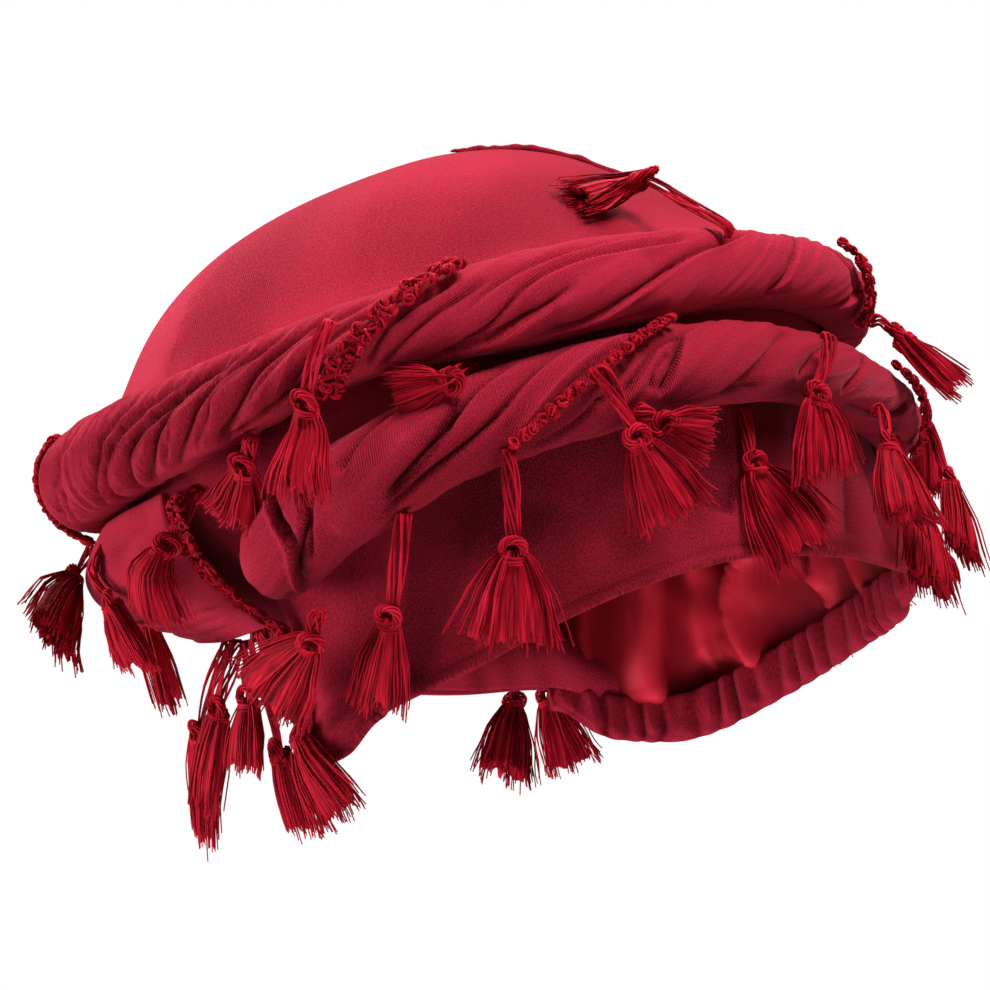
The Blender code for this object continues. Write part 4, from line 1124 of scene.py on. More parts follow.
@dataclass
class NapeCasing:
    """The gathered casing of the elastic round the nape, and the plain facing that runs on from it inside."""

    cap: Cap
    finish: Material
    height: float = 11.5 * MM
    thickness: float = 5.2 * MM
    pull: float = 3.0 * MM
    gathers: int = 20
    gather_depth: float = 1.25 * MM
    first: float = 141.0
    last: float = 236.0
    end_share: float = 0.45
    lip: float = 3.6 * MM
    facing_first: float = 216.0
    facing_last: float = 318.0
    facing_height: float = 21.0 * MM
    facing_gap: float = 6.5 * MM
    facing_wall: float = 0.8 * MM
    # The width along the head and the depth that the facing was cut to
    facing_cut: Pair = (0.150, 0.020)
    # How far from the axis the cloth is measured
    measure: float = 0.085

    def facing(self) -> Patch:
        """The plain jersey that faces the cap's lower edge inside, on the right side.

        Returns:
            The patch of the facing's outer side.
        """
        share, around = np.meshgrid(np.linspace(0, 1, 26), np.linspace(0, 1, 150), indexing="ij")
        angle = self.facing_first + (self.facing_last - self.facing_first) * around
        tall = self.facing_height * (0.35 + 0.65 * ease(around / 0.22))
        tall = tall * (0.25 + 0.75 * ease((1 - around) / 0.3))
        low = self.cap.rim_height(angle) + 0.4 * MM
        height = low + tall * share
        gap = self.facing_gap * np.sin(math.pi * (0.08 + 0.84 * share))
        gap = gap * ease(around * 5) * ease((1 - around) * 4)
        soft = 0.9 * MM * ripple(np.radians(angle) * 0.08, share * tall, 14 * MM, 93) * ease(around * 6)
        reach = self.cap.reach(angle, height) - self.cap.wall - CLOTH_GAP - gap - 1.4 * MM + soft * share
        chart = np.stack((np.radians(angle) * self.measure, height), axis=-1)
        # Painted shade: darker in the soft dents and paler on the swells
        return Patch(place(angle, reach, height), chart, soft / MM)

    def build(self) -> None:
        """The casing as a flattened tube with soft, uneven gathers, and its facing."""
        phase, share = np.meshgrid(np.linspace(0, 360, 41), np.linspace(0, 1, 430), indexing="ij")
        angle = self.first + (self.last - self.first) * share
        turn = np.radians(phase)
        steps = 2 * self.gathers * share
        fade = ease(steps / 4) * ease((2 * self.gathers - steps) / 4)
        wander = 0.8 * ripple(angle * 0.1, 0.0, 1.3, 91)
        lean = 0.45 * np.sin(np.radians(phase)) * (1 + 0.6 * ripple(angle * 0.1, 0.0, 1.1, 94))
        beat = (steps + wander + lean) * 0.5
        pucker = np.abs(np.sin(math.pi * beat)) ** 1.3 - 0.6
        weight = 0.75 + 0.4 * ripple(angle * 0.1, 0.0, 0.8, 92)
        fine = 0.25 * ripple(angle * 0.1 + 0.3 * np.cos(turn), 0.3 * np.sin(turn), 0.35, 95)
        swell = self.gather_depth * (2.0 * pucker * weight + fine)
        top = self.cap.rim_height(angle) - CLOTH_GAP
        half = 0.5 * self.height * (self.end_share + (1 - self.end_share) * fade)
        reach = self.cap.reach(angle, np.zeros(angle.shape)) - 0.5 * self.cap.wall - self.pull * fade
        round_in = np.sign(np.sin(turn)) * np.abs(np.sin(turn)) ** 0.75
        out = (0.5 * self.thickness + swell) * np.cos(turn)
        up = np.minimum((half + 0.15 * swell) * round_in, half)
        up = up + self.lip * ease(-1.2 * np.cos(turn)) * ease(1.5 * np.sin(turn))
        points = place(angle, reach + out, top - half + up)
        chart = np.stack((np.radians(angle) * self.measure, np.radians(phase) * 5 * MM), axis=-1)
        # Painted shade: darker in the gathers' valleys and paler on their ridges
        casing = Patch(points, chart, swell / MM)
        add_piece("casing_jersey", [casing], self.finish, "crimson_jersey", "nape_elastic", fill=True)
        facing, wall = [self.facing()], self.facing_wall
        piece = add_piece("facing_jersey", facing, self.finish, "crimson_jersey", "nape_elastic", wall=wall)


class Carrier(Enum):
    """What a tassel or a trim hangs on."""

    UPPER = "upper roll"
    LOWER = "lower roll"
    HEM = "side wrap's hem"


UPPER, LOWER, HEM = Carrier


def tube(path: Array, radius: Array | float, sides: int, tone: float, wide: Array | float = 1.0) -> Patch:
    """A thread along a path, closed at its two ends.

    Args:
        path: The points of its middle line.
        radius: Its radius at each of them.
        sides: How many sides it has.
        tone: Its tone, -1 for a dark thread to 1 for a light one.
        wide: How much wider than thick it is.

    Returns:
        The patch of its skin.
    """
    along = unit(np.gradient(path, axis=0))
    across = unit(np.cross(along, (0.31, 0.87, 0.38)))
    out = np.cross(across, along)
    thick = np.broadcast_to(radius, len(path)).copy()
    ends = np.array([0.0, *thick, 0.0])
    centres = np.concatenate((path[:1], path, path[-1:]))
    across, out = (np.concatenate((x[:1], x, x[-1:])) for x in (across, out))
    turn = np.linspace(0, 2 * math.pi, sides + 1)[:, None, None]
    ring = across * np.cos(turn) * wide + out * np.sin(turn)
    points = centres + ring * ends[:, None]
    length = np.concatenate(([0.0], np.cumsum(np.linalg.norm(np.diff(centres, axis=0), axis=1))))
    s, t = np.broadcast_arrays(length[None, :], turn[..., 0] * float(thick.max()))
    return Patch(points, np.stack((s, t), axis=-1), tone)


class TasselRow(NamedTuple):
    """A tassel, in degrees and in shares of the usual sizes.

    Attributes:
        carrier: What it hangs on.
        angle: Where its root is round the head.
        clock: Where its root is round the roll's section.
        cord: Its cord's length.
        lean: How far the cord leans from hanging down.
        skirt: Its skirt's length.
        sway: How far the skirt leans.
        swing: How far it swings outwards for each unit of length where it hangs free.
        layer: How many tassels it lies on.
        full: How wide its skirt is.
        taut: Whether it spans the hollows that it crosses.
    """

    carrier: Carrier
    angle: float
    clock: float
    cord: float
    lean: float
    skirt: float
    sway: float
    swing: float
    layer: float
    full: float = 1.0
    taut: bool = False


TASSELS = tuple(TasselRow(*row) for row in (
    (UPPER, 19.9, 12, 0.75, -39, 0.87, -16, -0.3, 0.4, 0.82),
    (UPPER, -8.4, -126, 0.52, -35, 0.8, -41, -0.3, 0.5, 1.15, True),
    (UPPER, -43.7, -71, 0.27, -21, 1.26, 55, 0.35, 0),
    (UPPER, -29.5, -107, 0.8, 22, 0.68, -22, -0.2, 0, 1.4),
    (UPPER, 6.6, -73, 0.25, -53, 0.6, -38, -0.3, 0),
    (UPPER, 31.2, -122, 0.25, -51, 0.52, -92, -0.3, 0),
    (LOWER, 19.2, -72, 0.94, -35, 0.94, -43, -0.3, 0, 0.82),
    (LOWER, 32.8, -52, 0.84, -17, 0.86, -23, -0.3, 0, 1.3),
    (LOWER, 45, 2, 0.68, 16, 0.81, 14, -0.3, 0.45, 1.05),
    (LOWER, 48.7, -44, 0.25, 50, 0.5, 66, -0.3, 0, 0.9),
    (LOWER, 70.6, -125, 0.57, -13, 1, 22, -0.3, 0, 1.4),
    (LOWER, 80.9, 8, 0.61, -33, 0.75, 5, -0.3, 0.5, 1.3),
    (UPPER, 110, -47, 0.33, -34, 0.66, 16, 0.6, 0.6, 1.3),
    (UPPER, 70.3, 40, 0.82, -165, 0.71, -89, -1, 0, 0.9),
    (LOWER, 93.8, -48, 0.56, -42, 0.85, -18, 0.3, 0.6, 1.3),
    (LOWER, 110.7, -73, 0.92, -39, 1.12, -34, 0.2, 0),
    (LOWER, 116.2, -42, 0.66, -31, 0.95, -34, 0.1, 0.5),
    (HEM, -26, 0, 1.27, -60, 1.25, -48, 0.2, 0),
    (HEM, -22, 0, 0.66, -38, 0.95, -28, 0.3, 0, 0.95),
    (HEM, -18.6, 0, 0.54, 0, 0.67, -20, 0.25, 0),
    (HEM, -16.05, 0, 1.2, -28, 0.85, -30, -0.15, 0),
    (HEM, -14.4, 0, 1.12, 16, 0.86, 16, -0.1, 0, 1.15),
    (LOWER, 7, -70, 0.25, -48, 1.27, -76, -0.3, 1.3, 1.1),
    (HEM, -122.6, 0, 0.9, 18, 0.94, 32, -0.2, 0),
    (HEM, -126.2, 0, 0.84, 1, 0.83, -6, 0.2, 0),
    (HEM, -176, 0, 0.45, 0, 0.85, 5, -0.3, 0),
    (UPPER, -66, -40, 0.9, 10, 0.95, -6, 0, 0),
    (UPPER, -92, -35, 0.8, -12, 1, -4, 0, 0),
    (UPPER, -118, -45, 0.95, 8, 0.92, 12, -0.1, 0),
    (UPPER, -148, -50, 0.85, -8, 1, 4, -0.2, 0),
    (UPPER, 176, -50, 0.9, 12, 0.95, -4, -0.2, 0),
    (UPPER, 150, -60, 0.6, -6, 0.8, 6, -0.3, 0.6),
    (HEM, -76, 0, 0.45, 6, 0.8, -4, -0.1, 0),
    (LOWER, 143, -60, 0.5, 6, 0.85, -6, -0.3, 0),
    (LOWER, 164, -55, 0.45, -8, 0.9, 3, -0.3, 0),
))

# A tassel's sections: whether each is on the skirt, and its share of the way along it
SECTIONS = ((False, 0.0), (False, 0.5), (False, 1.0), (True, 0.24), (True, 0.72), (True, 1.0))
SECTION_THICKNESS = (0.36, 0.36, 0.80, 0.80, 1.00, 0.80)


@dataclass
class Tassels:
    """The tassels: loose cords of a few threads, wrapped heads, and skirts of cut thread."""

    cap: Cap
    upper: Roll
    lower: Roll
    band: BrowBand
    wrap: SideWrap
    casing: NapeCasing
    finish: Material
    cord: float = 25.0 * MM
    cord_thickness: float = 2.6 * MM
    skirt: float = 28.0 * MM
    width: float = 17.5 * MM
    thickness: float = 7.0 * MM
    clearance: float = 1.1 * MM
    width_gain: float = 0.4
    thread: float = 0.24 * MM
    cord_threads: int = 10
    knot_threads: int = 6
    wrap_radius: float = 2.7 * MM
    locks: int = 13
    lock_threads: int = 6
    hidden_locks: int = 8
    hidden_from: int = 27
    body_ridges: int = 56

    def cloth_reach(self, angle: float, height: float) -> float:
        """The outermost cloth at an angle and a height: the cap, the band, the wrap or a roll.

        Args:
            angle: An angle round the head.
            height: A height.

        Returns:
            Its distance from the axis.
        """
        angle = (angle + 20.0) % 360.0 - 20.0
        reach = 0.0
        rim = float(self.cap.rim_height(angle))
        if rim - self.casing.height <= height < self.cap.height:
            reach = float(self.cap.reach(angle, height))
        if height < rim + CLOTH_GAP and self.casing.first <= angle <= self.casing.last:
            reach += 0.5 * self.casing.thickness + 1.1 * MM
        band, wrap = self.band, self.wrap
        cloths = []
        if band.first + band.rows[0][4] <= angle <= band.last:
            cloths.append((band, angle - float(band.slant(angle))))
        if wrap.first <= angle % 360.0 <= wrap.last:
            cloths.append((wrap, angle % 360.0))
        for cloth, here in cloths:
            top, bottom = (float(edge) for edge in cloth.edges(here))
            share = (top - height) / (top - bottom)
            if -0.02 <= share <= 1.05:
                reach = max(reach, float(cloth.spot(here, min(max(share, 0.0), 1.0), cloth.wall)[1]))
        return max(reach, self.upper.outer(angle, height), self.lower.outer(angle, height))

    def root(self, row: TasselRow) -> Pair:
        """The reach and height of a tassel's root, just off what it hangs on.

        Args:
            row: The tassel.

        Returns:
            The reach and the height.
        """
        if row.carrier is HEM:
            _, bottom = self.wrap.edges(row.angle % 360.0)
            _, reach, _ = self.wrap.spot(row.angle % 360.0, 1.0, 0.5 * self.wrap.wall)
            return float(reach), float(bottom) - CLOTH_GAP - 0.5 * self.cord_thickness
        roll = self.upper if row.carrier is UPPER else self.lower
        lift = CLOTH_GAP + 0.5 * self.cord_thickness + row.layer * self.thickness
        reach, height = roll.surface(row.angle, row.clock, lift)
        return float(reach), float(height)

    def line(self, row: TasselRow) -> list[tuple[float, float, float]]:
        """The angle, reach and height at each section of a tassel, which lies on the cloth or hangs free.

        Args:
            row: The tassel.

        Returns:
            The three values of each section.
        """
        angle = row.angle
        reach, height = self.root(row)
        line = [(angle, reach, height)]
        for number in range(1, len(SECTIONS)):
            (was_skirt, before), (on_skirt, way) = SECTIONS[number - 1], SECTIONS[number]
            way -= before if was_skirt is on_skirt else 0.0
            length = (self.skirt * row.skirt if on_skirt else self.cord * row.cord) * way
            turn = math.radians(row.sway if on_skirt else row.lean)
            angle += math.degrees(length * math.sin(turn) / reach)
            height -= length * math.cos(turn)
            half = 0.5 * self.thickness * SECTION_THICKNESS[number]
            clear = self.cloth_reach(angle, height) + half + self.clearance + row.layer * self.thickness
            reach = max(clear, reach + row.swing * length)
            line.append((angle, reach, height))
        for i in list(range(1, len(line) - 1)) * (12 if row.taut else 0):
            angle, reach, height = line[i]
            line[i] = (angle, max(reach, 0.5 * (line[i - 1][1] + line[i + 1][1])), height)
        return line

    def face_out(self, angle: float, height: float) -> Array:
        """The direction that the cap's face looks in.

        Args:
            angle: An angle round the head.
            height: A height.

        Returns:
            The direction, of length 1.
        """
        step, low = 2 * MM, min(max(height, 0.0), self.cap.height * 0.97)
        slope = float(self.cap.reach(angle, low + step) - self.cap.reach(angle, low)) / step
        return unit(place(angle, 1.0, -slope))

    def threads(self, row: TasselRow, seed: int) -> list[Patch]:
        """The patches of one tassel's threads.

        Args:
            row: The tassel.
            seed: Its number, which picks its random threads.

        Returns:
            The patches.
        """
        draw = np.random.default_rng(500 + seed)
        line = self.line(row)
        centres = np.array([place(*spot) for spot in line])
        across, outs, sides = np.zeros(3), [], []
        for i, spot in enumerate(line):
            along = unit(centres[min(i + 1, 5)] - centres[max(i - 1, 0)])
            across = np.cross(along, self.face_out(spot[0], spot[2])) + 0.5 * across
            across = unit(across - along * (across @ along))
            sides.append(across)
            outs.append(np.cross(across, along))
        spine = np.array((centres, sides, outs))
        patches = []
        root = centres[0] - outs[0] * 2.5 * MM - (centres[1] - centres[0]) * 0.10
        knots, where = np.linspace(0, 1, 5), np.linspace(0, 1, 17)[:13]
        path, side, out = (
            line_through(knots, np.array([start, *values[:4]]), where)
            for start, values in zip((root, sides[0], outs[0]), spine)
        )
        way = np.linspace(0, 1, 13)[:, None]
        bulge = 0.55 + 0.55 * np.sin(math.pi * np.clip(way * 0.9 + 0.05, 0, 1))
        for number in range(self.cord_threads):
            turn = 2 * math.pi * number / self.cord_threads + draw.uniform(1.5, 4.5) * way
            turn = turn + draw.uniform(-0.4, 0.4)
            pinch = bulge + draw.uniform(-0.12, 0.12)
            wave = 0.25 * MM * np.sin(way * draw.uniform(4, 9) + draw.uniform(0, 6)) * np.sin(math.pi * way)
            offset = side * (np.cos(turn) * 1.7 * MM * pinch + wave)
            offset = offset + out * np.sin(turn) * 0.85 * MM * pinch
            patches.append(tube(path + offset, 0.37 * MM, 4, draw.uniform(-0.8, 0.8)))
        patches += self.head(spine, draw)
        locks = self.locks if seed < self.hidden_from else self.hidden_locks
        return patches + self.fall(spine, row, locks, draw)

    def head(self, spine: Array, draw: np.random.Generator) -> list[Patch]:
        """The knotted head: the bundle's threads loop round in a ring, and wrap the skirt's top.

        Args:
            spine: The middle of each section, and its directions across the skirt and off the cloth.
            draw: Where the random threads come from.

        Returns:
            The patches.
        """
        down = unit(spine[0, 3] - spine[0, 2])
        middle, side, out = spine[:, 2]
        lean, start = draw.uniform(-0.6, 0.6), draw.uniform(0, 6)
        patches = []
        turn = np.linspace(0, 2 * math.pi + 0.7, 26)[:, None] + start
        ring = middle + down * (2.1 * np.sin(turn) - 0.3) * MM + side * (2.5 * np.cos(turn) + lean) * MM
        ring = ring + out * (1.0 + 0.7 * np.sin(turn + start)) * MM
        away = side * np.cos(turn) + down * np.sin(turn)
        for number in range(self.knot_threads):
            spin = turn * 1.5 + 2 * math.pi * number / self.knot_threads
            path = ring + (away * np.cos(spin) + out * np.sin(spin)) * 0.85 * MM
            patches.append(tube(path, 0.37 * MM, 4, draw.uniform(-0.7, 0.7)))
        turn = np.linspace(0, 2 * math.pi * 2.2, 34)[:, None] + start
        for number in range(2):
            sink = 1.5 + 0.8 * number + np.linspace(-0.6, 0.9, 34)[:, None]
            sink = sink + 0.5 * np.sin(turn * 0.9 + number)
            path = middle + down * sink * MM
            path = path + side * np.cos(turn) * self.wrap_radius + out * np.sin(turn) * self.wrap_radius
            patches.append(tube(path, 0.36 * MM, 4, draw.uniform(-0.6, 0.6)))
        return patches

    def fall(self, spine: Array, row: TasselRow, locks: int, draw: np.random.Generator) -> list[Patch]:
        """The skirt's cut threads, which cling together in wavy locks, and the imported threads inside.

        Args:
            spine: The middle of each section, and its directions across the skirt and off the cloth.
            row: The tassel.
            locks: How many locks it has.
            draw: Where the random threads come from.

        Returns:
            The patches.
        """
        spread = 1 - self.width_gain + self.width_gain * row.skirt
        half_width = 0.5 * self.width * spread * row.full
        half_thick = 0.5 * self.thickness
        where = np.array([0.0, 0.12, 0.28, 0.44, 0.60, 0.76, 0.89, 1.0])
        places = np.array([0.0, 0.24, 0.72, 1.0])
        middle, side, out = (line_through(places, values[2:], where) for values in spine)
        down = unit(np.gradient(middle, axis=0))
        total = np.linalg.norm(np.diff(middle, axis=0), axis=1).sum()
        grow = np.interp(where, (0.0, 0.14, 0.45, 1.0), (0.16, 0.42, 0.72, 1.0))[:, None]
        thick = np.interp(where, (0.0, 0.16, 0.5, 1.0), (0.62, 0.76, 1.0, 0.85))[:, None]
        way = where[:, None]
        patches = []
        for lock in range(locks):
            spot = 0.70 + 0.45 * math.sqrt(draw.uniform(0.0, 1.0))
            turn = 2 * math.pi * (lock * 0.618 + draw.uniform(-0.08, 0.08))
            x, y = spot * math.cos(turn), 0.92 * spot * math.sin(turn)
            bend, start, size = draw.uniform(3.5, 7.5), draw.uniform(0, 6), draw.uniform(0.2, 0.8)
            lock_wave = size * MM * (np.sin(way * bend + start) - math.sin(start)) * way
            lock_length, lock_tone = draw.uniform(0.90, 1.0), draw.uniform(-0.4, 0.3)
            for _ in range(self.lock_threads):
                dx, dy = draw.normal(0, 0.12, 2)
                spread = draw.normal(0, 0.09, 2)
                wave = 0.25 * MM * np.sin(way * draw.uniform(5, 12) + draw.uniform(0, 6)) * way
                offset = side * half_width * grow * (x + dx + spread[0] * way) + side * (lock_wave + wave)
                offset = offset + out * half_thick * thick * (y + dy + spread[1] * way)
                reach = lock_length * draw.uniform(0.91, 1.07) - 0.04 * abs(x)
                path = middle + offset - down * (total * (1 - reach)) * way**2
                radius = self.thread * np.interp(where, (0, 0.8, 1.0), (1.0, 1.0, 0.8))
                patches.append(tube(path, radius, 3, lock_tone + draw.uniform(-0.7, 0.7)))
        body = self.body(middle, side * half_width * grow, out * half_thick * thick, down * total, draw)
        return [*patches, body]

    def body(self, middle: Array, side: Array, out: Array, down: Array, draw: np.random.Generator) -> Patch:
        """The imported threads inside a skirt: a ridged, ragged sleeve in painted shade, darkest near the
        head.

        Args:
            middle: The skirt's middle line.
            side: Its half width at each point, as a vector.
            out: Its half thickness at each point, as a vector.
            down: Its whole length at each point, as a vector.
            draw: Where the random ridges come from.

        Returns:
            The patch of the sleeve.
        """
        count = self.body_ridges
        turn = np.linspace(0, 2 * math.pi, count + 1)[:, None, None]
        drawn = [draw.uniform(*ends, count) for ends in ((0.80, 1.0), (-0.02, 0.14))]
        drawn.append(draw.normal(-0.3, 0.5, count))
        ridge, length, tone = (np.append(x, x[0])[:, None, None] for x in drawn)
        fade = np.array([0.55, 0.90, 0.94, 0.95, 0.96, 0.96, 0.94, 0.30])[:, None]
        way = np.array([0.0, 0.12, 0.28, 0.44, 0.60, 0.76, 0.90, 0.82])[:, None]
        core = middle.copy()
        core[-1] -= down[-1] * (1 - way[-1])
        core = core - down * length * way**2
        core = core + (side * np.cos(turn) + out * np.sin(turn)) * fade * ridge
        s, t = np.broadcast_arrays(way[None, :, 0] * np.linalg.norm(down[0]), turn[..., 0] * 7.5 * MM)
        # Painted shade: the sleeve is darker than the locks, and darkest near the head
        return Patch(core, np.stack((s, t), axis=-1), tone[..., 0] - 0.3 * (1 - way[None, :, 0]))

    def build(self) -> None:
        """One piece for each tassel."""
        for number, row in enumerate(TASSELS, start=1):
            name = f"tassel_{number:02d}"
            add_piece(f"{name}_threads", self.threads(row, number), self.finish, "crimson_thread", name)


class TrimRow(NamedTuple):
    """A crocheted trim on a roll: the angle and the clock of its ends, how far it bows between them, and
    how many rows of stitches it has."""

    name: str
    carrier: Carrier
    start_angle: float
    start_clock: float
    end_angle: float
    end_clock: float
    bow: float = 0.0
    rows: int = 2


TRIMS = tuple(TrimRow(*row) for row in (
    ("upper_trim", UPPER, 34, 60, 16.5, -60, -2.5),
    ("lower_trim", LOWER, 57, 64, 33, -38, 0, 1),
    ("side_trim", UPPER, -37, 75, -50, -50),
    ("left_trim", UPPER, 106, 45, 113, -60),
    ("back_trim", LOWER, 112, 40, 126, -60),
    ("rear_trim", UPPER, -160, 60, -142, -50),
))


@dataclass
class Trims:
    """The crocheted edges: two rows of puffed stitches, each a few loops of thread."""

    upper: Roll
    lower: Roll
    wrap: SideWrap
    finish: Material
    width: float = 6.5 * MM
    thickness: float = 2.2 * MM
    stitch: float = 2.9 * MM
    thread: float = 0.42 * MM
    loops: int = 5
    # How far the front trim runs, as a share of the wrap's front edge
    overhang: float = 1.25

    def roll_spot(self, row: TrimRow, share: Array, lift: float) -> Array:
        """Points of a trim's middle line on its roll.

        Args:
            row: The trim.
            share: Shares of the way along it.
            lift: How far above the folds they lie.

        Returns:
            The points.
        """
        roll = self.upper if row.carrier is UPPER else self.lower
        angle = row.start_angle + (row.end_angle - row.start_angle) * share
        angle = angle + row.bow * np.sin(math.pi * share)
        clock = row.start_clock + (row.end_clock - row.start_clock) * share
        return place(angle, *roll.surface(angle, clock, lift))

    def front_spot(self, share: Array, lift: float) -> Array:
        """Points of the middle line down the side wrap's front edge.

        Args:
            share: Shares of the way down.
            lift: How far above the cloth they lie.

        Returns:
            The points.
        """
        edge = self.wrap.last
        _, reach, height = self.wrap.spot(edge, np.minimum(share * self.overhang, 1.0), 0.0)
        top, bottom = self.wrap.edges(edge)
        height = height - np.maximum(share * self.overhang - 1.0, 0.0) * (top - bottom)
        turned = edge + np.degrees((CLOTH_GAP + 0.5 * self.width) / reach)
        return place(turned, reach + lift, height - 2 * CLOTH_GAP)

    def stitches(self, spot: Callable[[Array, float], Array], rows: int = 2) -> list[Patch]:
        """The patches of a trim's threads along a line.

        Args:
            spot: Gives the points at some shares of the way along and a lift above the cloth.
            rows: How many rows of stitches there are.

        Returns:
            The patches.
        """
        share = np.linspace(0, 1, 81)
        low, high = spot(share, CLOTH_GAP), spot(share, CLOTH_GAP + self.thickness)
        length = float(np.linalg.norm(np.diff(low, axis=0), axis=1).sum())

        def lay(x: Array, y: Array, z: Array) -> Array:
            """Points in the trim's own space.

            Args:
                x: Metres along it.
                y: Metres across it.
                z: Metres above its underside.

            Returns:
                The points.
            """
            where = np.clip(x / length, 0.0, 1.0)
            tangents = unit(np.gradient(low, axis=0))
            base, top, along = (
                np.stack([np.interp(where, share, line[:, i]) for i in range(3)], -1)
                for line in (low, high, tangents)
            )
            out = unit(top - base)
            across = np.cross(along, out)
            return base + across * y[:, None] + out * z[:, None]

        draw = np.random.default_rng(round(length / (0.1 * MM)))
        patches = []
        count = max(3, round(length / self.stitch))
        pitch = length / count
        t = np.linspace(0, 2 * math.pi, 11)
        for row, across in ((0, -1.5 * MM), (1, 1.1 * MM))[:rows]:
            for number in range(count):
                middle = (number + 0.5 + 0.5 * row + draw.uniform(-0.25, 0.25)) * pitch
                puff = 1.25 if row and number % 2 else 1.0
                for _ in range(self.loops):
                    first = unit(draw.normal(0, 1, 3))
                    second = unit(np.cross(first, draw.normal(0, 1, 3)))
                    size = draw.uniform(0.9, 1.5) * puff * MM
                    x, y, z = (size * (first[i] * np.cos(t) + second[i] * np.sin(t)) for i in range(3))
                    x = middle + draw.normal(0, 0.35) * MM + x
                    y = across * puff + draw.normal(0, 0.35) * MM + y
                    z = np.maximum(0.5 * self.thickness + 0.75 * z, 0.15 * MM)
                    path = lay(np.clip(x, 0, length), np.clip(y, -3.2 * MM, 3.4 * MM), z)
                    radius = self.thread * draw.uniform(0.85, 1.15)
                    patches.append(tube(path, radius, 4, draw.uniform(-1.0, 0.5)))
        return patches

    def build(self) -> None:
        """One piece for each trim."""
        for row in TRIMS:
            patches = self.stitches(partial(self.roll_spot, row), row.rows)
            add_piece(f"{row.name}_crochet", patches, self.finish, "crimson_thread", row.name)
        patches = self.stitches(self.front_spot)
        add_piece("front_trim_crochet", patches, self.finish, "crimson_thread", "front_trim")


def linear(colour: str) -> tuple[float, float, float, float]:
    """The linear colour of an sRGB hex value."""
    values = [int(colour[i : i + 2], 16) / 255 for i in (1, 3, 5)]
    return (*(v / 12.92 if v <= 0.04045 else ((v + 0.055) / 1.055) ** 2.4 for v in values), 1.0)


def add_node(tree: Tree, kind: str, settings: dict[str, Any], inputs: dict[Any, Any]) -> Any:
    """Add a node to a material.

    Args:
        tree: The material's nodes.
        kind: The node's type.
        settings: Its own settings.
        inputs: A value or another node's output for each input, by name or number.

    Returns:
        The node.
    """
    node = tree.nodes.new(kind)
    for name, value in settings.items():
        setattr(node, name, value)
    for name, value in inputs.items():
        if isinstance(value, bpy.types.NodeSocket):
            tree.links.new(value, node.inputs[name])
        else:
            node.inputs[name].default_value = value
    return node


def bands_scale(pitch: float) -> float:
    """The Wave node's scale for bands a pitch apart."""
    return 2 * math.pi / (20 * pitch)


def texture(tree: Tree, kind: str, vector: Any, settings: dict[str, Any], **inputs: float) -> Any:
    """A texture's grey value, with the inputs that it takes by their names."""
    values = {name.replace("_", " ").title(): value for name, value in inputs.items()}
    return add_node(tree, kind, settings, {"Vector": vector, **values}).outputs["Fac"]


def weigh(tree: Tree, first: Any, *more: tuple[Any, float]) -> Any:
    """A grey value plus others, each times its weight.

    Args:
        tree: The material's nodes.
        first: The first value.
        more: The others, each with its weight.

    Returns:
        The sum's socket.
    """
    for value, weight in more:
        settings = {"operation": "MULTIPLY_ADD"}
        first = add_node(tree, "ShaderNodeMath", settings, {0: value, 1: weight, 2: first}).outputs[0]
    return first


def fit(tree: Tree, value: Any, low: float, high: float, to: Pair = (0, 1)) -> Any:
    """A grey value stretched so that low to high becomes another range."""
    inputs = {"Value": value, "From Min": low, "From Max": high, "To Min": to[0], "To Max": to[1]}
    return add_node(tree, "ShaderNodeMapRange", {}, inputs).outputs["Result"]


def ramp_of(tree: Tree, cloth: "Jersey | Satin | Thread", tone: Any, *greys: tuple[Any, float]) -> Any:
    """The colour of a cloth.

    Args:
        tree: The material's nodes.
        cloth: The cloth's finish.
        tone: The tone at each point, which carries painted shade and light.
        greys: Other grey values, each with its weight.

    Returns:
        The colour's socket.
    """
    mixed = weigh(tree, fit(tree, tone, *cloth.tones), *greys)
    ramp = add_node(tree, "ShaderNodeValToRGB", {}, {"Fac": fit(tree, mixed, *cloth.span)})
    ramp.color_ramp.elements.new(cloth.middle)
    for element, colour in zip(ramp.color_ramp.elements, cloth.colours):
        element.color = linear(colour)
    return ramp.outputs["Color"]


def bump_of(tree: Tree, strength: float, *layers: tuple[Any, float]) -> Any:
    """The normal of several bumps, each a height and how high it is in metres.

    Args:
        tree: The material's nodes.
        strength: How strongly they show.
        layers: Each bump's grey value and its height in metres.

    Returns:
        The normal's socket.
    """
    normal = None
    for height, distance in layers:
        inputs = {"Strength": strength, "Distance": distance, "Height": height}
        if normal is not None:
            inputs["Normal"] = normal
        normal = add_node(tree, "ShaderNodeBump", {}, inputs).outputs["Normal"]
    return normal


def new_finish(cloth: "Jersey | Satin | Thread") -> tuple[Any, ...]:
    """Start a cloth's material.

    Args:
        cloth: The cloth's finish.

    Returns:
        The material, its nodes, its shader, the cloth's own coordinates and its tone, which carries painted
        shade.
    """
    made = bpy.data.materials.new(cloth.name)
    made.use_nodes = True
    tree = made.node_tree
    shader = tree.nodes["Principled BSDF"]
    tint = linear(cloth.tint)
    values = {
        "Roughness": cloth.roughness, "Specular IOR Level": cloth.specular, "Sheen Weight": cloth.sheen,
        "Sheen Roughness": 0.3, "Sheen Tint": tint, "Specular Tint": tint,
    }
    for socket, value in values.items():
        shader.inputs[socket].default_value = value
    chart = add_node(tree, "ShaderNodeUVMap", {"uv_map": "UVMap"}, {}).outputs["UV"]
    tone = add_node(tree, "ShaderNodeAttribute", {"attribute_name": "tone"}, {}).outputs["Fac"]
    return made, tree, shader, chart, tone


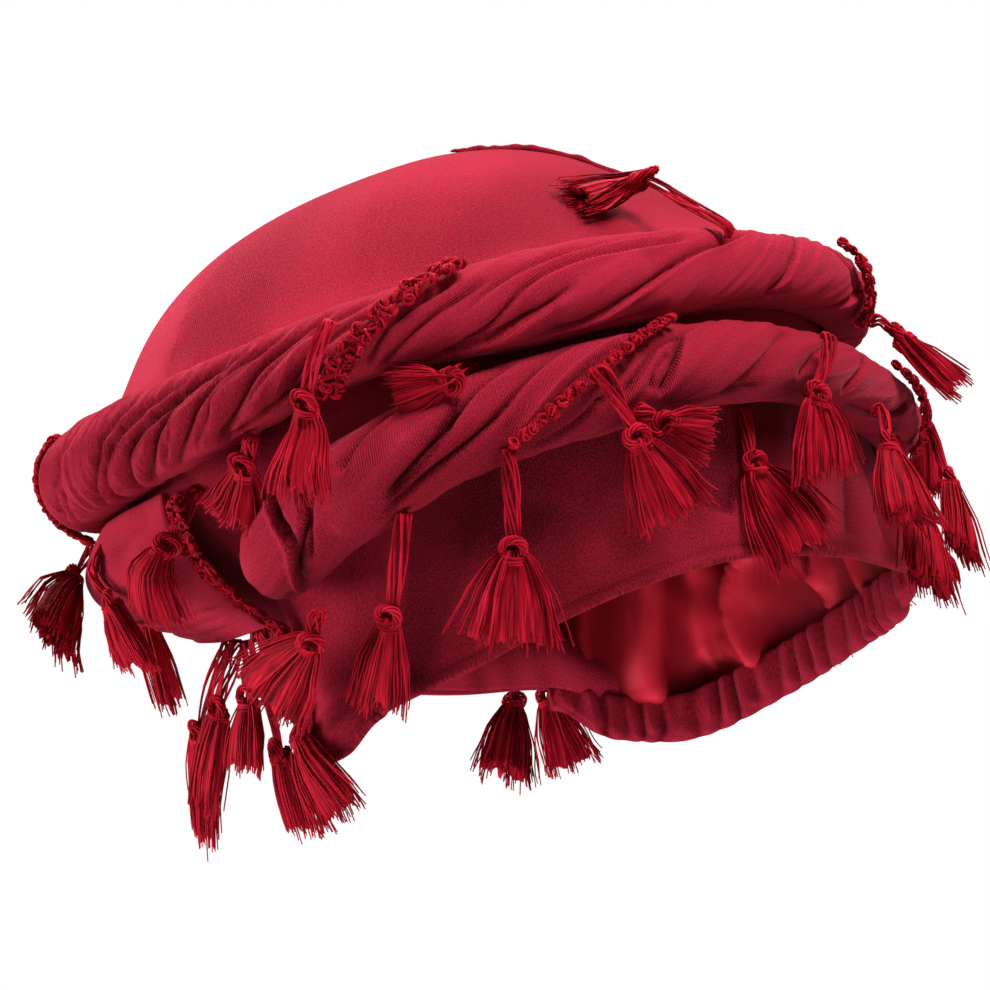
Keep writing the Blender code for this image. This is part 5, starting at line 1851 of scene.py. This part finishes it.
@dataclass(frozen=True)
class Jersey:
    """Brushed cotton jersey, knitted in fine ribs: matt, with a soft pale bloom where light grazes it."""

    name: str = "crimson_cotton_jersey"
    # Painted shade from the bottom of a crease to a crest
    colours: tuple[str, str, str] = ("#480C14", "#861828", "#A12236")
    middle: float = 0.55
    rib: float = 0.60 * MM
    course: float = 0.80 * MM
    # Thicker spots in the yarn are about half a millimetre long
    slubs: float = 1900.0
    clouds: float = 38.0
    # How much the knit, the clouds and the slubs lighten the cloth
    weights: tuple[float, float, float] = (0.26, 0.36, 2.30)
    # The tones that count as 0 and 1, and the sums with the weights that are darkest and palest
    tones: Pair = (-2.6, 1.2)
    span: Pair = (1.31, 2.51)
    roughness: float = 0.88
    specular: float = 0.03
    sheen: float = 0.20
    tint: str = "#FF7E94"

    def material(self) -> Material:
        """The material with its ribs, its faint streaks and painted shade in its creases.

        Returns:
            The material.
        """
        made, tree, shader, chart, tone = new_finish(self)
        wave, noise = "ShaderNodeTexWave", "ShaderNodeTexNoise"
        across, along = {"bands_direction": "X"}, {"bands_direction": "Y"}
        ribs = texture(tree, wave, chart, across, scale=bands_scale(self.rib), distortion=1.2, detail=1.0)
        course = bands_scale(self.course)
        courses = texture(tree, wave, chart, along, scale=course, distortion=1.0, detail=1.0)
        slub = texture(tree, noise, chart, {}, scale=self.slubs, detail=2.0, roughness=0.8)
        spot = add_node(tree, "ShaderNodeTexCoord", {}, {}).outputs["Object"]
        cloud = texture(tree, noise, spot, {}, scale=self.clouds, detail=4.0, roughness=0.6)
        knit = weigh(tree, ribs, (courses, 0.18))
        shade = ramp_of(tree, self, tone, *zip((knit, cloud, slub), self.weights))
        tree.links.new(shade, shader.inputs["Base Color"])
        tree.links.new(bump_of(tree, 0.7, (knit, 0.16 * MM), (slub, 0.12 * MM)), shader.inputs["Normal"])
        return made


@dataclass(frozen=True)
class Satin:
    """Woven polyester satin: smooth floats of thread that give bright, sharp-edged highlights."""

    name: str = "crimson_satin_weave"
    # Painted shade from the bottom of a fold to its crest
    colours: tuple[str, str, str] = ("#3C060B", "#7C0F1A", "#BC2434")
    middle: float = 0.45
    thread: float = 0.45 * MM
    clouds: float = 60.0
    cloudiness: float = 0.2
    tones: Pair = (-0.1, 1.3)
    span: Pair = (0.0, 1.0)
    roughness: float = 0.40
    specular: float = 0.4
    sheen: float = 0.0
    tint: str = "#FF3A50"

    def material(self) -> Material:
        """The material with its fine floats and a little cloudiness.

        Returns:
            The material.
        """
        made, tree, shader, chart, tone = new_finish(self)
        slant, fine = {"bands_direction": "DIAGONAL"}, bands_scale(self.thread)
        floats = texture(tree, "ShaderNodeTexWave", chart, slant, scale=fine, distortion=0.8)
        spot = add_node(tree, "ShaderNodeTexCoord", {}, {}).outputs["Object"]
        cloud = texture(tree, "ShaderNodeTexNoise", spot, {}, scale=self.clouds, detail=3.0)
        shade = ramp_of(tree, self, tone, (cloud, self.cloudiness))
        tree.links.new(shade, shader.inputs["Base Color"])
        rough = fit(tree, cloud, 0, 1, (self.roughness - 0.05, self.roughness + 0.08))
        tree.links.new(rough, shader.inputs["Roughness"])
        tree.links.new(bump_of(tree, 0.12, (floats, 0.1 * MM)), shader.inputs["Normal"])
        return made


@dataclass(frozen=True)
class Thread:
    """Soft twisted viscose thread: each strand a little lighter or darker, with a silky edge."""

    name: str = "crimson_viscose_thread"
    # From the darkest strand to the palest
    colours: tuple[str, str, str] = ("#4A0810", "#A20F21", "#CC203C")
    middle: float = 0.5
    # How many fibre streaks there are in each metre along a thread and across it
    along: float = 90.0
    across: float = 1900.0
    streaks: float = 0.90
    tones: Pair = (-1.6, 1.2)
    span: Pair = (0.0, 1.15)
    roughness: float = 0.60
    specular: float = 0.08
    sheen: float = 0.02
    tint: str = "#FF5A70"

    def material(self) -> Material:
        """The material with its fibres and the tone of each strand.

        Returns:
            The material.
        """
        made, tree, shader, chart, tone = new_finish(self)
        stretch = {"Vector": chart, "Scale": (self.along, self.across, 1.0)}
        fibre = add_node(tree, "ShaderNodeMapping", {}, stretch).outputs["Vector"]
        fibres = texture(tree, "ShaderNodeTexNoise", fibre, {}, scale=1.0, detail=2.0, roughness=0.6)
        streaks = fit(tree, fibres, 0.3, 0.7, (-0.5, 0.5))
        shade = ramp_of(tree, self, tone, (streaks, self.streaks))
        tree.links.new(shade, shader.inputs["Base Color"])
        tree.links.new(bump_of(tree, 0.6, (fibres, 0.5 * MM)), shader.inputs["Normal"])
        return made


class Lamp(NamedTuple):
    """A white softbox: its place, its size and its power in watts."""

    name: str
    place: tuple[float, float, float]
    size: float
    power: float


@dataclass
class Studio:
    """The camera, the pale floor and the soft lights."""

    azimuth: float = 40.0
    elevation: float = -8.0
    roll: float = 16.0
    distance: float = 0.90
    lens: float = 123.0
    target: tuple[float, float, float] = (-0.0159, -0.0133, 0.045)
    floor_height: float = -0.90
    floor_size: float = 4.0
    ceiling: float = 0.08
    # The pale wall round the studio: the height of a direction where it starts, is full, is full, and ends
    wall_stops: tuple[float, float, float, float] = (-0.30, -0.12, 0.30, 0.50)
    wall: float = 0.21
    # The lit backdrop behind the object: its direction, and how near a direction is to it where it starts and
    # where it is full
    backdrop: tuple[float, float, float] = (-0.6366, 0.7586, 0.139)
    backdrop_stops: Pair = (0.84, 0.955)
    lamps: tuple[Lamp, ...] = (
        Lamp("top_softbox", (-0.25, 0.40, 1.45), 1.0, 29.0),
        Lamp("right_softbox", (1.12, -0.12, 1.02), 0.7, 37.0),
        Lamp("left_softbox", (-1.0, -1.15, 0.30), 0.8, 31.0),
        Lamp("low_card", (0.12, -0.22, -0.85), 0.5, 5.0),
    )

    def camera(self) -> None:
        """The camera, rolled so that the level cap looks tilted."""
        a, e, r = (math.radians(x) for x in (self.azimuth, self.elevation, self.roll))
        back = Vector((math.sin(a) * math.cos(e), -math.cos(a) * math.cos(e), math.sin(e)))
        level = Vector((math.cos(a), math.sin(a), 0.0))
        right = level * math.cos(r) - back.cross(level) * math.sin(r)
        turn = Matrix((right, back.cross(right), back)).transposed().to_4x4()
        data = bpy.data.cameras.new("camera")
        data.lens, data.sensor_width, data.clip_start = self.lens, 36.0, 0.01
        camera = bpy.data.objects.new("camera", data)
        camera.matrix_world = Matrix.Translation(Vector(self.target) + back * self.distance) @ turn
        bpy.context.scene.collection.objects.link(camera)
        bpy.context.scene.camera = camera

    def light(self) -> None:
        """The lit backdrop, the pale wall round the studio, its dim ceiling, and the softboxes."""
        world = bpy.data.worlds.new("studio")
        world.use_nodes = True
        tree = world.node_tree
        way = add_node(tree, "ShaderNodeTexCoord", {}, {}).outputs["Generated"]
        up = add_node(tree, "ShaderNodeSeparateXYZ", {}, {0: way}).outputs["Z"]
        start, full, still, end = self.wall_stops
        low = fit(tree, up, start, full, (self.ceiling, self.wall))
        high = fit(tree, up, still, end, (self.wall, self.ceiling))
        sky = add_node(tree, "ShaderNodeMath", {"operation": "MINIMUM"}, {0: low, 1: high}).outputs[0]
        dot = {"operation": "DOT_PRODUCT"}
        near = add_node(tree, "ShaderNodeVectorMath", dot, {0: way, 1: self.backdrop})
        lit = fit(tree, near.outputs["Value"], *self.backdrop_stops)
        sky = add_node(tree, "ShaderNodeMath", {"operation": "MAXIMUM"}, {0: sky, 1: lit}).outputs[0]
        tree.nodes["Background"].inputs["Color"].default_value = (1, 1, 1, 1)
        tree.links.new(sky, tree.nodes["Background"].inputs["Strength"])
        bpy.context.scene.world = world
        for lamp in self.lamps:
            data = bpy.data.lights.new(lamp.name, "AREA")
            data.shape, data.size, data.energy = "DISK", lamp.size, lamp.power
            made = bpy.data.objects.new(lamp.name, data)
            towards = Vector(self.target) - Vector(lamp.place)
            made.location = lamp.place
            made.rotation_euler = towards.to_track_quat("-Z", "Y").to_euler()
            bpy.context.scene.collection.objects.link(made)

    def floor(self) -> None:
        """A plain pale floor under the object."""
        bm = bmesh.new()
        bmesh.ops.create_grid(bm, x_segments=1, y_segments=1, size=self.floor_size)
        bmesh.ops.translate(bm, verts=bm.verts, vec=(0, 0, self.floor_height))
        mesh = bpy.data.meshes.new("floor")
        bm.to_mesh(mesh)
        bm.free()
        paper = bpy.data.materials.new("white_paper")
        paper.use_nodes = True
        paper.node_tree.nodes["Principled BSDF"].inputs["Base Color"].default_value = (0.6, 0.6, 0.6, 1)
        paper.node_tree.nodes["Principled BSDF"].inputs["Roughness"].default_value = 0.9
        mesh.materials.append(paper)
        floor = bpy.data.objects.new("floor", mesh)
        bpy.context.scene.collection.objects.link(floor)


def main() -> None:
    """Build the studio and each piece in order."""
    logging.basicConfig(level=logging.INFO, format="%(name)s: %(message)s")
    bpy.context.scene.view_settings.view_transform = "Standard"
    studio = Studio()
    studio.camera()
    studio.light()
    studio.floor()
    jersey, satin, thread = Jersey().material(), Satin().material(), Thread().material()
    cap = Cap(jersey)
    # The upper roll is painted paler and the lower one darker, with painted shade on its underside
    upper = Roll(
        "upper_roll_jersey", "upper_twist", cap, jersey, UPPER_STATIONS, 12.8 * MM, 2 * CLOTH_GAP, True,
        folds=UPPER_FOLDS, tone=0.3,
    )
    lower = Roll(
        "lower_roll_jersey", "lower_twist", cap, jersey, LOWER_STATIONS, 12.5 * MM, 2.4 * MM + 2 * CLOTH_GAP,
        False, folds=LOWER_FOLDS, ribs_across=True, over=upper, tone=-0.3, shade=1.4,
    )
    band, wrap, casing = BrowBand(cap, lower, jersey), SideWrap(cap, upper, jersey), NapeCasing(cap, jersey)
    trims = Trims(upper, lower, wrap, thread)
    tassels = Tassels(cap, upper, lower, band, wrap, casing, thread)
    cap.build(upper)
    cap.crest_seam()
    for part in (Lining(cap, satin), upper, lower, band, wrap, casing, trims, tassels):
        part.build()


if __name__ == "__main__":
    main()
